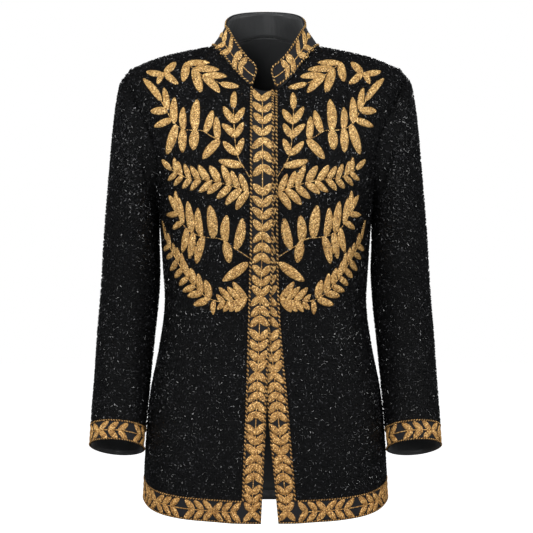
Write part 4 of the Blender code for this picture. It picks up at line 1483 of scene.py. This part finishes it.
class JACKET_OT_linings(bpy.types.Operator):
    """Make the satin inside the back, the collar and the cuffs"""

    bl_idname = "jacket.linings"
    bl_label = "Linings"

    def execute(self, context):
        satin = [finish_of(context, "lining")]
        wall = context.scene.jacket_sizes.cloth / MM + LINING_GAP

        def back(u, v):
            up = spread(v, *BACK_LINING_UPS)
            angle = across_back(spread(u, BACK_LINING_IN, 1 - BACK_LINING_IN), up)
            return body_points(angle, up, -wall), np.zeros_like(v)

        def collar(u, v):
            share = spread(v, *COLLAR_LINING_SHARES)
            angle = across_collar(spread(u, COLLAR_LINING_IN, 1 - COLLAR_LINING_IN), share)
            return collar_points(angle, share, -COLLAR_THICKNESS - LINING_GAP), np.zeros_like(v)

        def cuff(u, v):
            return sleeve_points(360 * u, spread(v, *CUFF_LINING_DOWNS), -wall), np.zeros_like(v)

        for name, sheet, place, closed, mirrored in (
            ("back_lining", BACK_LINING, back, False, False),
            ("collar_lining", COLLAR_LINING, collar, False, False),
            ("cuff_lining_left", CUFF_LINING, cuff, True, False),
            ("cuff_lining_right", CUFF_LINING, cuff, True, True),
        ):
            piece = cloth_sheet(
                f"{name}_satin", sheet.columns, sheet.rows, place, LINING_THICKNESS * MM, satin,
                closed, mirrored,
            )
            declare_cloth(name, flat=sheet.flat, area=sheet.area)
        return {"FINISHED"}


class JACKET_OT_sprays(bpy.types.Operator):
    """Make the gold leaf sprays on the fronts and on the collar"""

    bl_idname = "jacket.sprays"
    bl_label = "Leaf sprays"

    def execute(self, context):
        for side, name in SIDES:
            sprays = [(f"{spray.name}_{name}", spray, ground_of_front(side)) for spray in SPRAYS]
            sprays.append((f"collar_spray_{name}", COLLAR_SPRAY, ground_of_collar(side)))
            for seed, (cad_node, spray, place) in enumerate(sprays):
                stem = stem_at(spray.stem, np.linspace(0, 1, STEM_STEPS)).T
                make_leaves(context, cad_node, place, spray_leaves(spray), stem, side < 0, seed)
        return {"FINISHED"}


class JACKET_OT_garlands(bpy.types.Operator):
    """Make the leaf pairs down the front edges, along the hem and round the cuffs"""

    bl_idname = "jacket.garlands"
    bl_label = "Border garlands"

    def execute(self, context):
        fronts = pairs_of(FRONT_GROUPS)
        runs = [
            ("front_border_right", ground_of_band(-1), fronts, PAIR_SLIM, False),
            ("front_border_left", ground_of_band(1), fronts, PAIR_SLIM, True),
        ]
        for cad_node, (place, length), garland, turned in (
            ("hem_border_right", ground_of_hem(hem_angle(-1), -90, body_points), HEM_GARLAND, True),
            ("hem_border_left", ground_of_hem(hem_angle(1), 90, lapped_points), HEM_GARLAND, False),
            ("hem_border_back", ground_of_hem(90, 270, body_points), HEM_GARLAND, False),
            ("cuff_border_left", ground_of_cuff(), CUFF_GARLAND, True),
            ("cuff_border_right", ground_of_cuff(), CUFF_GARLAND, True),
        ):
            runs.append((cad_node, place, even_pairs(garland, length), HEM_PAIR_SLIM, turned))
        for seed, (cad_node, place, pairs, slim, turned) in enumerate(runs, GARLAND_SEED):
            along = np.arange(pairs[0].at - STEM_PAST, pairs[-1].at + STEM_PAST, GARLAND_STEM_STEP)
            make_leaves(
                context, cad_node, place, pair_leaves(pairs, slim), (along, 0.0), turned, seed,
                mirrored=cad_node == "cuff_border_right",
            )
        return {"FINISHED"}


class JACKET_OT_cords(bpy.types.Operator):
    """Make the twisted gold cords round the borders, the collar and the cuffs"""

    bl_idname = "jacket.cords"
    bl_label = "Twisted cords"

    def execute(self, context):
        for side, name in SIDES:
            make_cord(context, f"front_cord_{name}", front_cord_lines(side))
        depths = (CORD_INSET, BORDER_WIDTH)
        angles = np.linspace(90, 270, BACK_HEM_STEPS)
        make_cord(context, "hem_cord_back", [cord_line(body_points, angles, up, HEM_CORD) for up in depths])
        turns = np.linspace(0, 360, CUFF_STEPS)
        downs = [SLEEVE_END - depth / CUFF_MM_PER_DOWN for depth in depths]
        for side, name in SIDES:
            lines = [cord_line(sleeve_points, turns, down, HEM_CORD) for down in downs]
            make_cord(context, f"cuff_cord_{name}", lines, mirrored=side < 0)
        make_cord(context, "collar_cord", [collar_cord_line()])
        return {"FINISHED"}


class JACKET_OT_beads(bpy.types.Operator):
    """Make the black glass beads over the back, the fronts and the sleeves"""

    bl_idname = "jacket.beads"
    bl_label = "Glass beads"

    def execute(self, context):
        spacing = context.scene.jacket_sizes.bead_spacing / MM
        rows = int(NECK / spacing)
        leaves = Leaves(*(np.concatenate(column) for column in zip(*map(spray_leaves, SPRAYS))))

        def rise(v):
            return spread(v, HEM, NECK)

        def off_hem(angle, up, points):
            return (up > BORDER_WIDTH + BORDER_MARGIN) & (up < NECK - 1)

        make_beads(context, "back", body_points, across_back, rise, rows, off_hem)
        for side, name in SIDES:

            def off_front(angle, up, points):
                inward = side * (points[:, 0] - edge_x(side, up))
                off_band = inward > front_border(up) + BORDER_MARGIN
                outward = side * (points[:, 0] - SPRAY_CENTRE_X)
                return off_hem(angle, up, points) & off_band & clear_of_leaves(outward, points[:, 2], leaves)

            make_beads(
                context, f"front_{name}", FRONT_POINTS[side], across_front(side), rise, rows, off_front
            )

        def turn(u, down):
            return 360 * u

        def fall(v):
            return v * SLEEVE_END

        def off_cuff(turns, down, points):
            return down < SLEEVE_END - (BORDER_WIDTH + BORDER_MARGIN) / CUFF_MM_PER_DOWN

        rows = int(SLEEVE_LENGTH / spacing)
        for side, name in SIDES:
            make_beads(context, f"sleeve_{name}", sleeve_points, turn, fall, rows, off_cuff, side < 0)
        return {"FINISHED"}


def make_floor(scene):
    """A pale floor under the jacket, which throws no light or gloss on it."""
    shape = bmesh.new()
    bmesh.ops.create_grid(shape, x_segments=1, y_segments=1, size=FLOOR_REACH)
    bmesh.ops.translate(shape, verts=shape.verts, vec=(0, 0, FLOOR_HEIGHT * MM))
    mesh = bpy.data.meshes.new("floor")
    finish_mesh(shape, mesh)
    paint, _, _ = new_material(
        "Pale floor", Roughness=0.9, Base_Color=FLOOR_COLOUR, Emission_Color=WHITE, Emission_Strength=1.0
    )
    mesh.materials.append(paint)
    floor = bpy.data.objects.new("floor", mesh)
    floor.visible_glossy = False
    floor.visible_diffuse = False
    scene.collection.objects.link(floor)
    floor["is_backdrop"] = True


def make_lamps(scene):
    middle = Vector((0, 0, CAMERA_HEIGHT * MM))
    for row in LAMPS:
        light = bpy.data.lights.new(row.name, "AREA")
        light.shape = "RECTANGLE"
        light.size, light.size_y = row.size
        light.energy = row.power
        lamp = bpy.data.objects.new(row.name, light)
        lamp.location = row.place
        lamp.rotation_euler = (middle - Vector(row.place)).to_track_quat("-Z", "Y").to_euler()
        lamp.visible_diffuse = not row.glint
        lamp.visible_glossy = row.glint
        scene.collection.objects.link(lamp)


def make_world(scene):
    """A white backdrop for the camera, and a faint even light on the jacket."""
    world = bpy.data.worlds.new("studio")
    world.use_nodes = True
    tree = world.node_tree
    light = wire(tree, tree.nodes["Background"], Color=WORLD_LIGHT, Strength=WORLD_STRENGTH)
    backdrop = node(tree, "ShaderNodeBackground", Color=WHITE, Strength=1.0)
    seen = tree.nodes.new("ShaderNodeLightPath").outputs["Is Camera Ray"]
    both = tree.nodes.new("ShaderNodeMixShader")
    for socket, output in zip(both.inputs, (seen, light.outputs[0], backdrop.outputs[0])):
        tree.links.new(output, socket)
    tree.links.new(both.outputs[0], tree.nodes["World Output"].inputs["Surface"])
    scene.world = world
    scene.view_settings.view_transform = "Standard"


def make_camera(scene):
    eye = bpy.data.cameras.new("camera")
    eye.sensor_width = SENSOR_MM
    eye.lens = SENSOR_MM * CAMERA_DISTANCE / PICTURE_WIDTH_MM
    camera = bpy.data.objects.new("camera", eye)
    camera.location = (CAMERA_X * MM, -CAMERA_DISTANCE * MM, CAMERA_HEIGHT * MM)
    camera.rotation_euler = (np.pi / 2, 0, 0)
    scene.collection.objects.link(camera)
    scene.camera = camera


class JACKET_OT_stage(bpy.types.Operator):
    """Make the floor, the lights and the camera"""

    bl_idname = "jacket.stage"
    bl_label = "Stage"

    def execute(self, context):
        for make in (make_floor, make_lamps, make_world, make_camera):
            make(context.scene)
        return {"FINISHED"}


class JACKET_PT_sidebar(bpy.types.Panel):
    """The jacket's steps, in the 3D view's sidebar"""

    bl_idname = "JACKET_PT_sidebar"
    bl_label = "Evening jacket"
    bl_space_type = "VIEW_3D"
    bl_region_type = "UI"
    bl_category = "Jacket"

    def draw(self, context):
        for group in (context.scene.jacket_sizes, context.scene.jacket_colours):
            for name in group.__annotations__:
                self.layout.prop(group, name)
        for step in STEPS:
            self.layout.operator(step.bl_idname)


STEPS = (
    JACKET_OT_cloth,
    JACKET_OT_linings,
    JACKET_OT_sprays,
    JACKET_OT_garlands,
    JACKET_OT_cords,
    JACKET_OT_beads,
    JACKET_OT_stage,
)
CLASSES = (JacketSizes, JacketColours, *STEPS, JACKET_PT_sidebar)


def register():
    for made in CLASSES:
        bpy.utils.register_class(made)
    bpy.types.Scene.jacket_sizes = PointerProperty(type=JacketSizes)
    bpy.types.Scene.jacket_colours = PointerProperty(type=JacketColours)


def unregister():
    del bpy.types.Scene.jacket_colours
    del bpy.types.Scene.jacket_sizes
    for made in reversed(CLASSES):
        bpy.utils.unregister_class(made)


def main():
    register()
    bpy.ops.jacket.cloth()
    bpy.ops.jacket.linings()
    bpy.ops.jacket.sprays()
    bpy.ops.jacket.garlands()
    bpy.ops.jacket.cords()
    bpy.ops.jacket.beads()
    bpy.ops.jacket.stage()
    boxes = {"cad": CAD_BOX, "visual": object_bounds()}
    {name: [list(corner) for corner in box] for name, box in boxes.items()}


if __name__ == "__main__":
    main()
